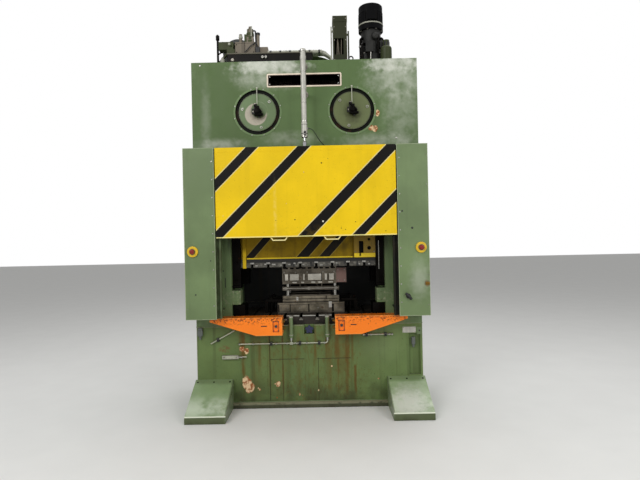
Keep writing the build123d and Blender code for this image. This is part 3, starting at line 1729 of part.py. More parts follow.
nodes["base_plate"] = make_base_plate()
nodes["bed"] = make_bed()
nodes["upright_right"] = make_upright()
nodes["upright_left"] = mirrored(make_upright())
nodes["crown"] = make_crown()
nodes["tie_rods"] = make_tie_rods()
nodes["bolster"] = make_bolster()
nodes["bolster_clamps"] = make_bolster_clamps()
nodes["gibs"] = make_gibs()
nodes["foot_covers"] = both_sides(make_foot_cover())
nodes["front_cover_right"] = make_front_cover()
nodes["front_cover_left"] = mirrored(make_front_cover())
nodes["panel_screws"] = make_panel_screws()
nodes["guard_rails"] = both_sides(make_guard_rail())
nodes["guard_panel"] = make_guard_panel()
nodes["guard_cylinder"] = make_guard_cylinder()
nodes["guard_rod"] = make_guard_rod()
nodes["guard_hose"] = make_guard_hose()
nodes["bearing_housings"] = make_bearing_housings()
nodes["eccentric_shaft_right"] = make_eccentric_shaft(shaft_x, disc_bolt_angles)
nodes["eccentric_shaft_left"] = make_eccentric_shaft(-shaft_x, left_bolt_angles)
nodes["rotary_unions"] = make_rotary_unions()
nodes["connecting_rod_right"] = make_connecting_rod(shaft_x)
nodes["connecting_rod_left"] = make_connecting_rod(-shaft_x)
nodes["slide"] = make_slide()
nodes["slide_plate"] = make_slide_plate()
nodes["switch_box"] = make_switch_box()
nodes["gear_case"] = make_gearcase()
nodes["drive_shaft"] = make_drive_shaft()
nodes["flywheel"] = make_flywheel()
nodes["drive_belts"] = make_belts()
nodes["belt_guard"] = make_belt_guard()
nodes["main_motor"] = make_main_motor()
nodes["motor_rotor"] = make_motor_rotor()
nodes["control_arm_right"] = make_arm()
nodes["control_arm_left"] = mirrored(make_arm())
nodes["start_button_right"] = make_start_button()
nodes["start_button_left"] = mirrored(make_start_button())
nodes["estop_plates"] = both_sides(make_estop_plate())
nodes["estop_knob_right"] = make_estop_knob()
nodes["estop_knob_left"] = mirrored(make_estop_knob())
nodes["lift_cylinders"] = make_lift_cylinders()
nodes["front_pipes"] = make_front_pipes()
nodes["wall_sockets"] = make_wall_sockets()
nodes["star_knob"] = make_star_knob()
nodes["name_plate"] = make_name_plate()
nodes["rear_guard"] = make_rear_guard()
nodes["die_base"] = make_die_base()
nodes["die_block"] = make_die_block()
nodes["guide_pillars"] = make_pillars()
nodes["stripper_plate"] = make_stripper()
nodes["upper_die"] = make_upper_die()
nodes["die_springs"] = make_die_springs()
nodes["oil_tank"] = make_tank()
nodes["valve_box"] = make_valve_box()
nodes["cable_tower"] = make_tower()
nodes["pump_unit"] = make_pump_unit()
nodes["pump_motor"] = make_pump_motor()
nodes["air_vessel"] = make_air_vessel()
nodes["conduit"] = make_conduit()

os.makedirs("parts", exist_ok=True)
for name, shape in nodes.items():
    pieces = shape if isinstance(shape, list) else [shape]
    solids = [solid for piece in pieces for solid in piece.solids()]
    export_step(Compound(solids) if len(solids) > 1 else solids[0], f"parts/{name}.step")
print(len(nodes), "nodes")
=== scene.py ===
# %% [markdown]
# A stamping press is a big painted machine, and most of its look is the history on its surfaces: dulled green
# paint, oil that ran down the bed, a yellow guard that hands have rubbed. We could model every scratch, but paint
# history is cheaper and richer as a material that is worked out from position. So the solid shapes come from the
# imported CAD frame, small fittings are built here in mesh code, and materials tell the story.

# %% Load the frame
import json
import math
import random
from functools import cached_property
from itertools import product

import bmesh
import bpy
from mathutils import Matrix, Vector

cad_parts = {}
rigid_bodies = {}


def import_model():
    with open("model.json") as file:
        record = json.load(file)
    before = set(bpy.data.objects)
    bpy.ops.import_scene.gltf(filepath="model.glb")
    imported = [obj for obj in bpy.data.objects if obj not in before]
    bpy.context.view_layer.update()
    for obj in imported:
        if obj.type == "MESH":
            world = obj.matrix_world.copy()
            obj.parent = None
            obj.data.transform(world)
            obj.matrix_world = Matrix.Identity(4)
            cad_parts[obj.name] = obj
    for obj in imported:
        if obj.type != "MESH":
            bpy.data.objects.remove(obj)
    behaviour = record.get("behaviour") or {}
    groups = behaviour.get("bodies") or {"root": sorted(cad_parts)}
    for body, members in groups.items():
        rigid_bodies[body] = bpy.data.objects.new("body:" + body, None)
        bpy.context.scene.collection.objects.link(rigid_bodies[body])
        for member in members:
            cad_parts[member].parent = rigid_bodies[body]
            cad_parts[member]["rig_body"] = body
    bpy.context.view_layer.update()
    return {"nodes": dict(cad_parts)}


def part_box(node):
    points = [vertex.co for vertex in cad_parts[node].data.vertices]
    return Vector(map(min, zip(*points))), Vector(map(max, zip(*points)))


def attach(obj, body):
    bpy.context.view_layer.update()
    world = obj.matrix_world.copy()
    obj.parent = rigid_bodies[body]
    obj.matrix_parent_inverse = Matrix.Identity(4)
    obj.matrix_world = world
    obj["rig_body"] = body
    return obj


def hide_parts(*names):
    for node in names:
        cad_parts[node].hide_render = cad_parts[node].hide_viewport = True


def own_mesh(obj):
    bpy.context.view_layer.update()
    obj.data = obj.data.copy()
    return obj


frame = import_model()
nodes = frame["nodes"]

# %% [markdown]
# Materials are trees of nodes. Making each node by hand takes four lines, so we first write helpers that make a
# node and fill its sockets. A value that is a socket gets linked, and any other value is typed in. All patterns
# read object coordinates. Every object's origin is the press's own origin, so those coordinates are metres on the
# real machine, and the pattern stays on its piece when the piece moves.

# %% Helpers for material trees
finishes = {}


def fill(tree, socket, value):
    """Link a socket, or type a value into it."""
    if isinstance(value, bpy.types.NodeSocket):
        tree.links.new(value, socket)
    else:
        socket.default_value = value


def node(tree, kind, settings=None, **inputs):
    """Make one shader node; keyword names are its socket names."""
    made = tree.nodes.new("ShaderNode" + kind)
    for key, value in (settings or {}).items():
        setattr(made, key, value)
    for key, value in inputs.items():
        fill(tree, made.inputs[key], value)
    return made


def maths(tree, operation, *values):
    """One Math node; returns its output."""
    made = node(tree, "Math", {"operation": operation})
    for socket, value in zip(made.inputs, values):
        fill(tree, socket, value)
    return made.outputs[0]


def rgba(colour):
    """Three numbers as seen on a screen become the linear four that sockets hold."""
    return tuple(c / 12.92 if c <= 0.04045 else ((c + 0.055) / 1.055) ** 2.4 for c in colour) + (1.0,)


class Skin:
    """A material in the making, and what its patterns read: the position on the machine."""

    def __init__(self, name):
        finishes[name] = material = bpy.data.materials.new(name)
        material.use_nodes = True
        self.tree = material.node_tree
        self.shader = next(n for n in self.tree.nodes if n.type == "BSDF_PRINCIPLED")
        self.place = node(self.tree, "TexCoord").outputs["Object"]
        self.x, self.y, self.z = node(self.tree, "SeparateXYZ", Vector=self.place).outputs

    @cached_property
    def ragged(self):
        """A noise round zero that shakes the outline of every mark."""
        return self.times(self.minus(self.grain(26, 5), 0.5), 1.3)

    def do(self, operation, *values):
        return maths(self.tree, operation, *values)

    def plus(self, first, second):
        return self.do("ADD", first, second)

    def minus(self, first, second):
        return self.do("SUBTRACT", first, second)

    def times(self, first, second):
        return self.do("MULTIPLY", first, second)

    def step(self, value, low, high):
        """0 below low, 1 above high, smooth between; low may be the larger one."""
        made = node(self.tree, "MapRange", {"interpolation_type": "SMOOTHSTEP"}, Value=value)
        ends = (low, high, 0.0, 1.0) if low < high else (high, low, 1.0, 0.0)
        for index, end in enumerate(ends, 1):
            made.inputs[index].default_value = end
        return made.outputs[0]

    def between(self, value, low, high, soft):
        """1 between two values, 0 outside."""
        return self.times(self.step(value, low - soft, low + soft), self.step(value, high + soft, high - soft))

    def mix(self, share, first, second):
        """Mix two colours; share 0 gives the first."""
        made = node(self.tree, "Mix", {"data_type": "RGBA"})
        for index, value in ((0, share), (6, first), (7, second)):
            fill(self.tree, made.inputs[index], rgba(value) if isinstance(value, (tuple, list)) else value)
        return made.outputs[2]

    def grain(self, scale, detail=3.0, stretch=None, roughness=0.55):
        """Noise between 0 and 1; stretch squeezes it along an axis."""
        place = self.place
        if stretch:
            place = node(self.tree, "Mapping", Vector=place, Scale=stretch).outputs[0]
        noise = node(self.tree, "TexNoise", Vector=place, Scale=scale, Detail=detail, Roughness=roughness)
        return noise.outputs["Fac"]

    def put(self, socket, value):
        """Link or type a value into the shader."""
        fill(self.tree, self.shader.inputs[socket], value)

    def bump(self, height, strength, distance=0.002):
        """Let a grey pattern dent the surface."""
        dents = node(self.tree, "Bump", Strength=strength, Distance=distance, Height=height)
        self.put("Normal", dents.outputs[0])


# %% [markdown]
# Wear sits at known places: a chip by the bearing, oil under a slot, bare steel along an edge. Each kind of place
# gets a small function that returns a recipe, and a recipe turns position into a mask when a material is built.
# Every outline is shaken by noise, so the marks look broken and not drawn. Hazy marks have a wide soft edge.

# %% Recipes for marks
marks_front = -0.33


def on_front(at, front=marks_front):
    """Only what lies in front of a value of y."""
    return at.step(at.y, front + 0.01, front - 0.01)


def reach(at, x, z, half_width=None, half_height=None):
    """Distance from a point on the front, in half sizes where they are given."""
    across, up = at.minus(at.x, x), at.minus(at.z, z)
    if half_width:
        across, up = at.do("DIVIDE", across, half_width), at.do("DIVIDE", up, half_height)
    return at.do("SQRT", at.plus(at.times(across, across), at.times(up, up)))


def patch(x, z, half_width, half_height, edge=0.08, front=marks_front):
    """A ragged ellipse on the machine's front; a large edge makes it hazy."""
    def recipe(at):
        shaken = at.plus(reach(at, x, z, half_width, half_height), at.ragged)
        return at.times(at.step(shaken, 1 + edge, 1 - edge), on_front(at, front))
    return recipe


def run_down(x, half_width, top, bottom):
    """A run of oil down the front."""
    def recipe(at):
        away = at.do("ABSOLUTE", at.minus(at.plus(at.x, at.times(at.ragged, 0.012)), x))
        sides = at.step(away, half_width, half_width * 0.2)
        ends = at.times(at.step(at.z, top + 0.01, top - 0.02), at.step(at.z, bottom, bottom + 0.12))
        broken = at.step(at.grain(12, 5, (1, 1, 0.25)), 0.28, 0.55)
        return at.times(at.times(sides, ends), at.times(broken, on_front(at)))
    return recipe


def band(axis, low, high, soft=0.001):
    """Everything between two values of x, y or z."""
    return lambda at: at.between(getattr(at, axis), low, high, soft)


def ring(x, z, inner, outer, soft=0.0015):
    """A ring round an axis that runs front to back."""
    return lambda at: at.between(reach(at, x, z), inner, outer, soft)


def disc(x, z, radius, soft=0.004):
    """A clean round spot on the front."""
    return lambda at: at.step(reach(at, x, z), radius + soft, radius - soft)


def both(first, second):
    """Where two recipes hold."""
    return lambda at: at.times(first(at), second(at))


def without(kept, cut):
    """One recipe with another one cut out of it."""
    return lambda at: at.times(kept(at), at.minus(1.0, cut(at)))


def broken_up(recipe, scale=34, low=0.40, high=0.62, stretch=None):
    """A recipe with holes in it."""
    return lambda at: at.times(recipe(at), at.step(at.grain(scale, 6, stretch), low, high))


# The pale colours laid along these edges are partly worn edges and partly painted highlights, where edges catch light.
def along_edges(name, width):
    """Where two faces of a CAD node's box meet."""
    low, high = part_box(name)

    def recipe(at):
        gaps = []
        for value, start, end in zip((at.x, at.y, at.z), low, high):
            from_low, from_high = at.minus(value, start), at.minus(end, value)
            gaps.append(at.do("MINIMUM", at.do("ABSOLUTE", from_low), at.do("ABSOLUTE", from_high)))
        smaller = at.do("MINIMUM", gaps[0], gaps[1])
        larger = at.do("MAXIMUM", gaps[0], gaps[1])
        second = at.do("MAXIMUM", smaller, at.do("MINIMUM", larger, gaps[2]))
        return at.step(at.plus(second, at.times(at.ragged, width * 0.9)), width, width * 0.4)
    return recipe


def on_ledges(amount):
    """Faces that look up, where dust settles."""
    def recipe(at):
        normal = node(at.tree, "NewGeometry").outputs["Normal"]
        up = node(at.tree, "SeparateXYZ", Vector=normal).outputs[2]
        dusty = at.step(at.grain(11, 6), 0.45 - amount * 0.5, 0.95 - amount * 0.3)
        return at.times(at.step(up, 0.6, 0.9), dusty)
    return recipe


def below(height, fade):
    """Low places, where splashes gather."""
    return lambda at: at.times(at.step(at.z, height, height - fade), at.step(at.grain(7, 6), 0.30, 0.65))


# %% [markdown]
# Old machine paint has layers: the sprayed colour with slow drifts, vertical runs, grime specks, chips that show
# primer. One image of it would stretch over six metres of surface. We stack the layers as masks instead, and each
# finish below only says how strong each layer is and which marks lie on top.

# %% The painted finish
oil_brown = (0.17, 0.14, 0.07)
run_brown = (0.36, 0.29, 0.12)
seam_brown = (0.10, 0.075, 0.04)
dust_grey = (0.56, 0.54, 0.46)
# A pale colour for dust, and also for painted sheen: the sky's reflection painted into the colour.
sheen_and_dust_white = (0.79, 0.80, 0.75)
chip_cream = (0.86, 0.74, 0.58)
chip_brown = (0.55, 0.33, 0.18)
bare_metal = (0.62, 0.60, 0.54)
stripe_black = (0.06, 0.05, 0.04)


def paint(name, colour, gloss=0.42, streaks=0.25, grime=0.35, layers=(), chips=0.0, shine=0.35, drift=0.10,
          chip_marks=(), stripes=(), stripe_slope=1.0, stripe_edge=(0.86, 0.80, 0.55)):
    """A worn paint. layers lists (strength, colour, recipe); chip_marks lists recipes that show primer."""
    at = Skin(name)
    dull = [c * (1 - drift * 1.5) for c in colour]
    faded = [min(1, c * (1 + drift) + drift * 0.12) for c in colour]
    tone = at.mix(0.45, colour, at.mix(at.step(at.grain(2.3, 4), 0.35, 0.68), dull, faded))
    if stripes:
        tone = striped(at, tone, stripes, stripe_slope, stripe_edge)
    rivers = at.step(at.grain(1.0, 6, (17, 17, 0.55)), 0.50, 0.72)
    tone = at.mix(at.times(rivers, streaks), tone, oil_brown)
    for strength, layer_colour, recipe in layers:
        tone = at.mix(at.times(recipe(at), strength), tone, layer_colour)
    specks = at.step(at.grain(95, 3), 0.66, 0.74)
    tone = at.mix(at.times(specks, grime), tone, oil_brown)
    worn = at.step(at.grain(21, 7, roughness=0.7), 0.735 - 0.12 * chips, 0.75 - 0.12 * chips)
    bare = at.times(worn, 1.0 if chips else 0.0)
    for recipe in chip_marks:
        bare = at.do("MAXIMUM", bare, recipe(at))
    primer = at.mix(at.step(at.grain(40, 4), 0.42, 0.6), chip_brown, chip_cream)
    at.put("Base Color", at.mix(bare, tone, primer))
    at.put("Specular IOR Level", shine)
    rough = at.plus(at.times(at.grain(9, 5), 0.28), gloss - 0.12)
    at.put("Roughness", at.plus(rough, at.times(bare, 0.25)))
    dents = at.plus(at.times(at.grain(210, 2), 0.25), at.times(at.grain(14, 3), 0.6))
    at.bump(at.minus(dents, bare), 0.22)


def striped(at, tone, stripes, slope, border):
    """Black diagonal bands with thin pale borders. Each stripe is (low, high) of z minus slope times x."""
    line = at.plus(at.minus(at.z, at.times(at.x, slope)), at.times(at.ragged, 0.0015))
    edge, soft = 0.009, 0.0015
    for low, high in stripes:
        outer = at.times(at.step(line, low - edge - soft, low - edge), at.step(line, high + edge + soft, high + edge))
        tone = at.mix(outer, tone, border)
        tone = at.mix(at.between(line, low, high, soft), tone, stripe_black)
    return tone


# %% [markdown]
# Bare metal tells its story through roughness. A ground table shines where chips slide over it and is dull where
# oil has dried. We tint the metal a little, vary its roughness with a stretched noise that acts as the grinding
# direction, and lay dark oil over it. Rubber and moulded plastic are plainer, but still need a fine grain.

# %% Metal, rubber and plastic finishes
def steel(name, colour, rough, oil, along=None, rust=0.0, metal=1.0):
    """Oily worked steel; along squeezes the grain into a grinding direction."""
    at = Skin(name)
    tone = at.mix(at.grain(60, 4, along), [c * 0.72 for c in colour], colour)
    tone = at.mix(at.times(at.step(at.grain(9, 6), 0.38, 0.66), oil), tone, (0.055, 0.045, 0.03))
    if rust:
        patches = at.step(at.grain(17, 7, roughness=0.65), 0.66 - 0.2 * rust, 0.74 - 0.2 * rust)
        tone = at.mix(at.times(patches, 0.8), tone, (0.27, 0.13, 0.06))
    at.put("Base Color", tone)
    at.put("Metallic", metal)
    scratch = at.grain(120, 3, along)
    at.put("Roughness", at.plus(at.times(scratch, 0.3), rough - 0.12))
    at.bump(scratch, 0.12, 0.001)


def moulded(name, colour, rough, dirt):
    """Plastic or rubber with a fine grain and some dirt."""
    at = Skin(name)
    tone = at.mix(at.grain(30, 4), [c * 0.85 for c in colour], colour)
    at.put("Base Color", at.mix(at.times(at.step(at.grain(22, 6), 0.52, 0.72), dirt), tone, (0.12, 0.10, 0.07)))
    pores = at.grain(180, 2)
    at.put("Roughness", at.plus(at.times(pores, 0.2), rough - 0.1))
    at.bump(pores, 0.1, 0.0006)


for row in (
    ("worn_steel", (0.62, 0.60, 0.56), 0.34, 0.35, (1, 6, 1)),
    ("table_steel", (0.24, 0.215, 0.185), 0.52, 0.75, (1, 8, 1), 0.2, 0.6),
    ("tool_steel", (0.50, 0.47, 0.42), 0.38, 0.5, (8, 1, 1), 0.15),
    ("black_steel", (0.10, 0.095, 0.09), 0.45, 0.5, None, 0.1),
    ("bright_steel", (0.80, 0.79, 0.76), 0.28, 0.12),
    ("insert_steel", (0.86, 0.84, 0.79), 0.36, 0.32, (1, 1, 6)),
    ("stack_steel", (0.60, 0.565, 0.49), 0.40, 0.6, (8, 1, 1), 0.2),
    ("cast_grey", (0.20, 0.20, 0.19), 0.55, 0.4, None, 0.0, 0.6),
    ("tube_alloy", (0.80, 0.79, 0.75), 0.42, 0.12, (1, 1, 0.2), 0.0, 0.3),
    ("chrome_rod", (0.86, 0.86, 0.87), 0.14, 0.03),
    ("pipe_zinc", (0.78, 0.79, 0.70), 0.36, 0.2, None, 0.0, 0.5),
    ("bronze", (0.60, 0.45, 0.22), 0.35, 0.35),
    ("sight_glass", (0.55, 0.60, 0.58), 0.15, 0.1, None, 0.0, 0.0),
):
    steel(*row)
for row in (
    ("black_rubber", (0.045, 0.045, 0.045), 0.62, 0.35), ("black_plastic", (0.04, 0.04, 0.045), 0.42, 0.2),
    ("grey_plastic", (0.36, 0.38, 0.36), 0.5, 0.35), ("pale_plastic", (0.66, 0.66, 0.60), 0.55, 0.45),
    ("red_plastic", (0.55, 0.06, 0.04), 0.35, 0.3), ("yellow_plastic", (0.93, 0.76, 0.08), 0.38, 0.25),
    ("blue_plastic", (0.10, 0.12, 0.27), 0.5, 0.45),
):
    moulded(*row)
print(len(finishes), "finishes of metal, rubber and plastic")

# %% [markdown]
# Now the paints of this press. The marks' places were read from the machine: primer shows at the right bearing
# and low on the bed, the crown's top is hazy where light and dust lie on it, and oil has run down from the table
# between the bed's ribs. The foot covers are a paler green, and low down they carry a painted sheen, the sky's
# reflection laid in as colour.

# %% Paints of the frame
shaft_x, shaft_z = 0.414, 2.586
crown_green = (0.345, 0.43, 0.265)
# Pale patches on the crown: partly dust, partly painted sheen that stands for the sky's reflection.
sheen_and_dust_spots = [
    (0.95, -0.29, 2.990, 0.28, 0.060, 0.45), (0.45, -0.28, 2.92, 0.28, 0.10, 0.7),
    (0.90, 0.80, 2.985, 0.22, 0.060, 0.45), (0.50, 0.80, 2.87, 0.20, 0.15, 0.8), (0.30, 0.84, 2.62, 0.12, 0.30, 0.9),
    (0.18, -0.46, 2.84, 0.12, 0.06, 0.8), (0.30, -0.12, 2.35, 0.20, 0.05, 0.8), (0.18, -0.87, 2.50, 0.035, 0.30, 0.8),
    (0.45, -0.74, 2.31, 0.18, 0.04, 0.8), (0.40, 0.66, 2.31, 0.26, 0.05, 0.9),
]
clean_spots = [
    (0.55, 0.845, 2.79, 0.055, 0.035, 0.5), (0.4, 0.66, 2.83, 0.05, 0.03, 0.5), (0.4, 0.70, 2.70, 0.04, 0.05, 0.6),
]
crown_chips = [(0.638, 2.556, 0.020, 0.026), (0.575, 2.430, 0.020, 0.024), (0.612, 2.418, 0.022, 0.026)]
roof_edge = both(band("z", 2.93, 3.05, 0.02), band("y", -0.6, -0.33, 0.01))
paint(
    "crown_green", crown_green, 0.44, 0.12, 0.25, shine=0.2, drift=0.05,
    chip_marks=[patch(*mark) for mark in crown_chips],
    layers=[(0.8, (0.30, 0.38, 0.215), patch(-0.71, 2.66, 0.30, 0.50, 0.6))]
    + [(strength, sheen_and_dust_white, broken_up(patch(*mark), 9, 0.2, 0.62)) for strength, *mark in sheen_and_dust_spots]
    + [(strength, crown_green, patch(*mark)) for strength, *mark in clean_spots]
    # Oil along the roof's edge; the crown's pale edges are partly wear and partly painted highlight.
    + [(0.35, oil_brown, broken_up(roof_edge, 120, 0.6, 0.68)), (0.4, sheen_and_dust_white, along_edges("crown", 0.006))],
)
bed_runs = [
    (0.95, -0.582, 0.024, 0.64, 0.20), (0.6, -0.582, 0.012, 0.30, 0.05), (0.6, -0.595, 0.040, 0.66, 0.40),
    (0.6, -0.442, 0.022, 0.58, 0.22), (0.35, -0.47, 0.06, 0.62, 0.05), (0.8, -0.238, 0.014, 0.70, 0.05),
    (0.8, 0.003, 0.010, 0.16, 0.05), (0.9, 0.047, 0.020, 0.71, 0.35), (0.8, 0.144, 0.014, 0.60, 0.44),
    (0.95, 0.240, 0.038, 0.66, 0.36), (0.9, 0.247, 0.014, 0.42, 0.07), (0.95, 0.325, 0.024, 0.66, 0.04),
    (0.8, 0.342, 0.012, 0.66, 0.36), (0.95, 0.396, 0.018, 0.36, 0.03), (0.7, 0.374, 0.016, 0.64, 0.34),
    (0.45, -0.10, 0.03, 0.62, 0.05), (0.5, 0.17, 0.04, 0.62, 0.06), (0.4, 0.29, 0.09, 0.66, 0.05),
    (0.5, -0.352, 0.018, 0.66, 0.05),
]
bed_seams = [
    both(band("x", -0.3545, -0.3485, 0.0015), band("z", 0.05, 0.66, 0.01)),
    both(band("x", 0.0710, 0.0755, 0.0015), band("z", 0.05, 0.42, 0.01)),
    both(band("x", -0.2400, -0.2365, 0.0015), band("z", 0.05, 0.70, 0.01)),
    both(band("z", 0.4130, 0.4180, 0.0015), band("x", -0.351, -0.049)),
    both(band("z", 0.4130, 0.4180, 0.0015), band("x", 0.062, 0.359)),
]
bed_chips = [
    (-0.560, 0.215, 0.034, 0.055), (-0.530, 0.180, 0.036, 0.050), (-0.545, 0.150, 0.022, 0.030),
    (-0.594, 0.510, 0.022, 0.022), (-0.555, 0.495, 0.020, 0.026), (-0.283, 0.199, 0.018, 0.024),
    (-0.310, 0.200, 0.006, 0.006), (-0.445, 0.154, 0.010, 0.009), (-0.458, 0.165, 0.005, 0.006),
    (-0.295, 0.080, 0.006, 0.008), (-0.095, 0.104, 0.006, 0.012), (-0.070, 0.096, 0.005, 0.005),
    (0.071, 0.138, 0.005, 0.007), (0.190, 0.348, 0.007, 0.008), (0.599, 0.230, 0.007, 0.006),
]
bed_specks = both(band("x", -0.62, 0.42, 0.1), band("z", 0.2, 0.66, 0.05))
paint(
    "bed_green", (0.375, 0.450, 0.265), 0.44, 0.35, 0.6, shine=0.2, chip_marks=[patch(*mark) for mark in bed_chips],
    layers=[
        (0.30, (0.33, 0.33, 0.15), broken_up(patch(-0.10, 0.30, 0.62, 0.45, 0.5), 5, 0.3, 0.6, (1, 1, 0.4))),
        (0.5, (0.45, 0.20, 0.14), broken_up(patch(-0.742, 0.511, 0.05, 0.030, 0.3), 60)),
        (0.08, (0.62, 0.66, 0.54), patch(0.62, 0.52, 0.16, 0.12, 0.9)),
        (0.6, (0.15, 0.13, 0.07), broken_up(band("z", 0.05, 0.30, 0.10), 70, 0.62, 0.68)),
        (0.4, (0.16, 0.15, 0.08), broken_up(bed_specks, 85, 0.64, 0.70)),
        (0.40, run_brown, broken_up(patch(0.03, 0.34, 0.42, 0.36, 0.3), 46, 0.52, 0.62, (1, 1, 0.5))),
    ] + [(strength, run_brown, run_down(*run)) for strength, *run in bed_runs]
    + [(0.85, seam_brown, broken_up(both(seam, band("y", -0.36, -0.33)), 16, 0.22, 0.40)) for seam in bed_seams]
    + [(0.7, (0.20, 0.19, 0.12), below(0.30, 0.25)), (0.5, bare_metal, along_edges("bed", 0.006)),
       (0.5, dust_grey, on_ledges(0.6))],
)
paint("base_green", (0.25, 0.26, 0.18), 0.5, 0.5, 0.8, chips=0.5, layers=[
    (0.8, (0.62, 0.60, 0.50), on_ledges(0.9)),
    (0.6, (0.55, 0.54, 0.43), broken_up(band("z", 0.030, 0.05, 0.003), 25, 0.3, 0.5)),
])
# Between the uprights, above the table, the green is painted darker: painted shade cast by the guard.
inner_painted_shade = both(band("z", 1.38, 2.2, 0.10), band("x", -0.70, 0.70, 0.01))
paint("upright_green", (0.385, 0.465, 0.305), grime=0.4, layers=[
    (0.6, (0.10, 0.11, 0.07), broken_up(inner_painted_shade, 8, 0.1, 0.5)), (0.5, dust_grey, on_ledges(0.5)),
    (0.55, (0.60, 0.60, 0.50), broken_up(both(band("z", 0.905, 1.018), band("y", -0.34, -0.10)), 45, 0.5, 0.62)),
])
foot_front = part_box("foot_covers")[0][1]
# Low on the covers' front a pale band and two pale patches on the right are painted sheen, the sky's reflection.
paint("foot_green", (0.50, 0.585, 0.415), 0.30, 0.10, 0.25, layers=[
    (0.55, (0.86, 0.89, 0.82),
     broken_up(both(band("z", 0.055, 0.14, 0.05), band("y", -0.75, -0.40, 0.02)), 9, 0.3, 0.6)),
    (0.8, sheen_and_dust_white, broken_up(patch(0.81, 0.10, 0.13, 0.07, 0.6, -0.4), 20, 0.25, 0.5)),
    (0.35, sheen_and_dust_white, patch(0.84, 0.16, 0.13, 0.07, 0.9, -0.4)),
    (0.95, (0.31, 0.345, 0.225), band("y", foot_front - 0.01, foot_front + 0.0015, 0.0012)),
    (0.75, (0.38, 0.43, 0.31), both(band("x", -0.6835, 0.6835, 0.002), band("z", 0, 0.3))),
    (0.9, (0.88, 0.90, 0.82), both(band("z", 0.0545, 0.0625, 0.001), band("y", -0.75, foot_front + 0.012, 0.001))),
    (0.4, (0.28, 0.31, 0.20), both(band("z", 0.225, 0.26, 0.01), band("y", -0.42, -0.33, 0.01))),
    (0.5, oil_brown, below(0.05, 0.05)),
])
for side in ("left", "right"):
    paint("cover_green_" + side, (0.412, 0.487, 0.325), streaks=0.10, grime=0.22, layers=[
        # Pale edges are partly wear and partly painted highlight; a hazy pale patch on the right cover is partly dust,
        # partly painted sheen.
        (0.6, (0.70, 0.73, 0.62), along_edges("front_cover_" + side, 0.0045)),
        (0.3, sheen_and_dust_white, patch(0.93, 1.12, 0.06, 0.12, 0.9, -0.5)), (0.5, dust_grey, on_ledges(0.5)),
        (0.6, (0.42, 0.28, 0.12), patch(0.992, 1.080, 0.022, 0.026, 0.3, -0.5)),
    ])
    # Black oil specks are densest near the table.
    paint("arm_orange_" + side, (0.99, 0.50, 0.085), 0.36, 0.0, 0.25, chips=0.1, drift=0.05, layers=[
        (0.9, (0.18, 0.09, 0.03), broken_up(band("z", 0.760, 0.83, 0.030), 62, 0.52, 0.60)),
        (0.75, (0.20, 0.10, 0.04), broken_up(band("z", 0.69, 0.78, 0.03), 62, 0.64, 0.70)),
        (0.5, (0.55, 0.25, 0.07), broken_up(band("z", 0.785, 0.81, 0.008), 25, 0.4, 0.6)),
        # Pale orange edges: partly wear, partly painted highlight.
        (0.6, (1.0, 0.72, 0.38), along_edges("control_arm_" + side, 0.004)),
    ])
print(len(finishes), "finishes so far")

# %% [markdown]
# The moving parts and the fittings carry their own colours. The guard's stripes and their pale borders are part of
# its paint, since they are sprayed on and wear with it. A paint without marks is one row of numbers in a table.

# %% Paints of guard, slide and fittings
guard_low, guard_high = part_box("guard_panel")
guard_sheet_bottom = 1.486
guard_dots = (
    (0.136, 2.095, 0.006), (-0.094, 1.628, 0.005), (-0.252, 1.624, 0.004), (0.326, 1.538, 0.005), (0.29, 1.55, 0.004),
    (0.41, 1.60, 0.004), (0.66, 1.52, 0.004), (-0.62, 1.60, 0.004), (0.19, 2.13, 0.003), (0.52, 2.05, 0.003),
)
rubbed = both(band("x", -0.30, 0.30, 0.1), band("z", 1.48, 1.56, 0.04))
hem = both(band("z", guard_sheet_bottom, guard_sheet_bottom + 0.009), band("y", -0.57, -0.55))
paint(
    "guard_yellow", (0.90, 0.755, 0.085), streaks=0.05, chips=0.3, shine=0.12, drift=0.05,
    stripes=[(2.628, 2.730), (2.190, 2.298), (1.440, 1.560), (1.007, 1.111)],
    layers=[(0.9, (0.15, 0.11, 0.04), patch(x, z, r, r, 0.2, -0.5)) for x, z, r in guard_dots] + [
        (0.8, (0.96, 0.94, 0.88), patch(0.140, 1.610, 0.006, 0.006, 0.2, -0.5)),
        (0.16, (0.98, 0.92, 0.62), broken_up(patch(-0.257, 1.70, 0.012, 0.20, 0.8, -0.5), 30, 0.3, 0.6)),
        (0.12, (0.62, 0.50, 0.10), broken_up(rubbed, 30, 0.4, 0.6)),
        # The handles below the sheet are a pale cream: partly hand wear, partly painted highlight.
        (0.85, (0.93, 0.90, 0.68), band("z", 1.40, guard_sheet_bottom - 0.001, 0.001)),
        (0.7, (0.97, 0.93, 0.62), hem),
    ],
)
# The slide's yellow and its stripes' pale borders are mixed darker than the paint: painted shade over the whole slide,
# with real oil on top.
paint(
    "slide_yellow_in_shade", (0.52, 0.42, 0.035), streaks=0.35, grime=0.55, chips=0.25, shine=0.12, drift=0.12,
    stripes=[(1.840, 1.924), (1.304, 1.418), (1.096, 1.198)], stripe_slope=1.1, stripe_edge=(0.56, 0.48, 0.20),
    layers=[(0.85, (0.88, 0.74, 0.12), both(band("x", -0.583, -0.551, 0.001), band("z", 1.20, 1.37, 0.03))),
            (0.5, oil_brown, broken_up(band("z", 1.29, 1.95, 0.02), 6, 0.45, 0.7))],
)
plate_black = (0.03, 0.03, 0.027)
paint("slide_plate_oiled", (0.25, 0.24, 0.215), streaks=0.2, grime=0.5, shine=0.4, layers=[
    (0.95, plate_black, both(band("z", 1.262, 1.31, 0.002), band("y", -0.28, -0.262))),
    (0.55, (0.50, 0.49, 0.45), broken_up(band("z", 1.224, 1.256, 0.003), 26, 0.45, 0.6)),
    (0.9, plate_black, broken_up(band("z", 1.215, 1.262, 0.002), 14, 0.56, 0.60, (1, 1, 0.3))),
])
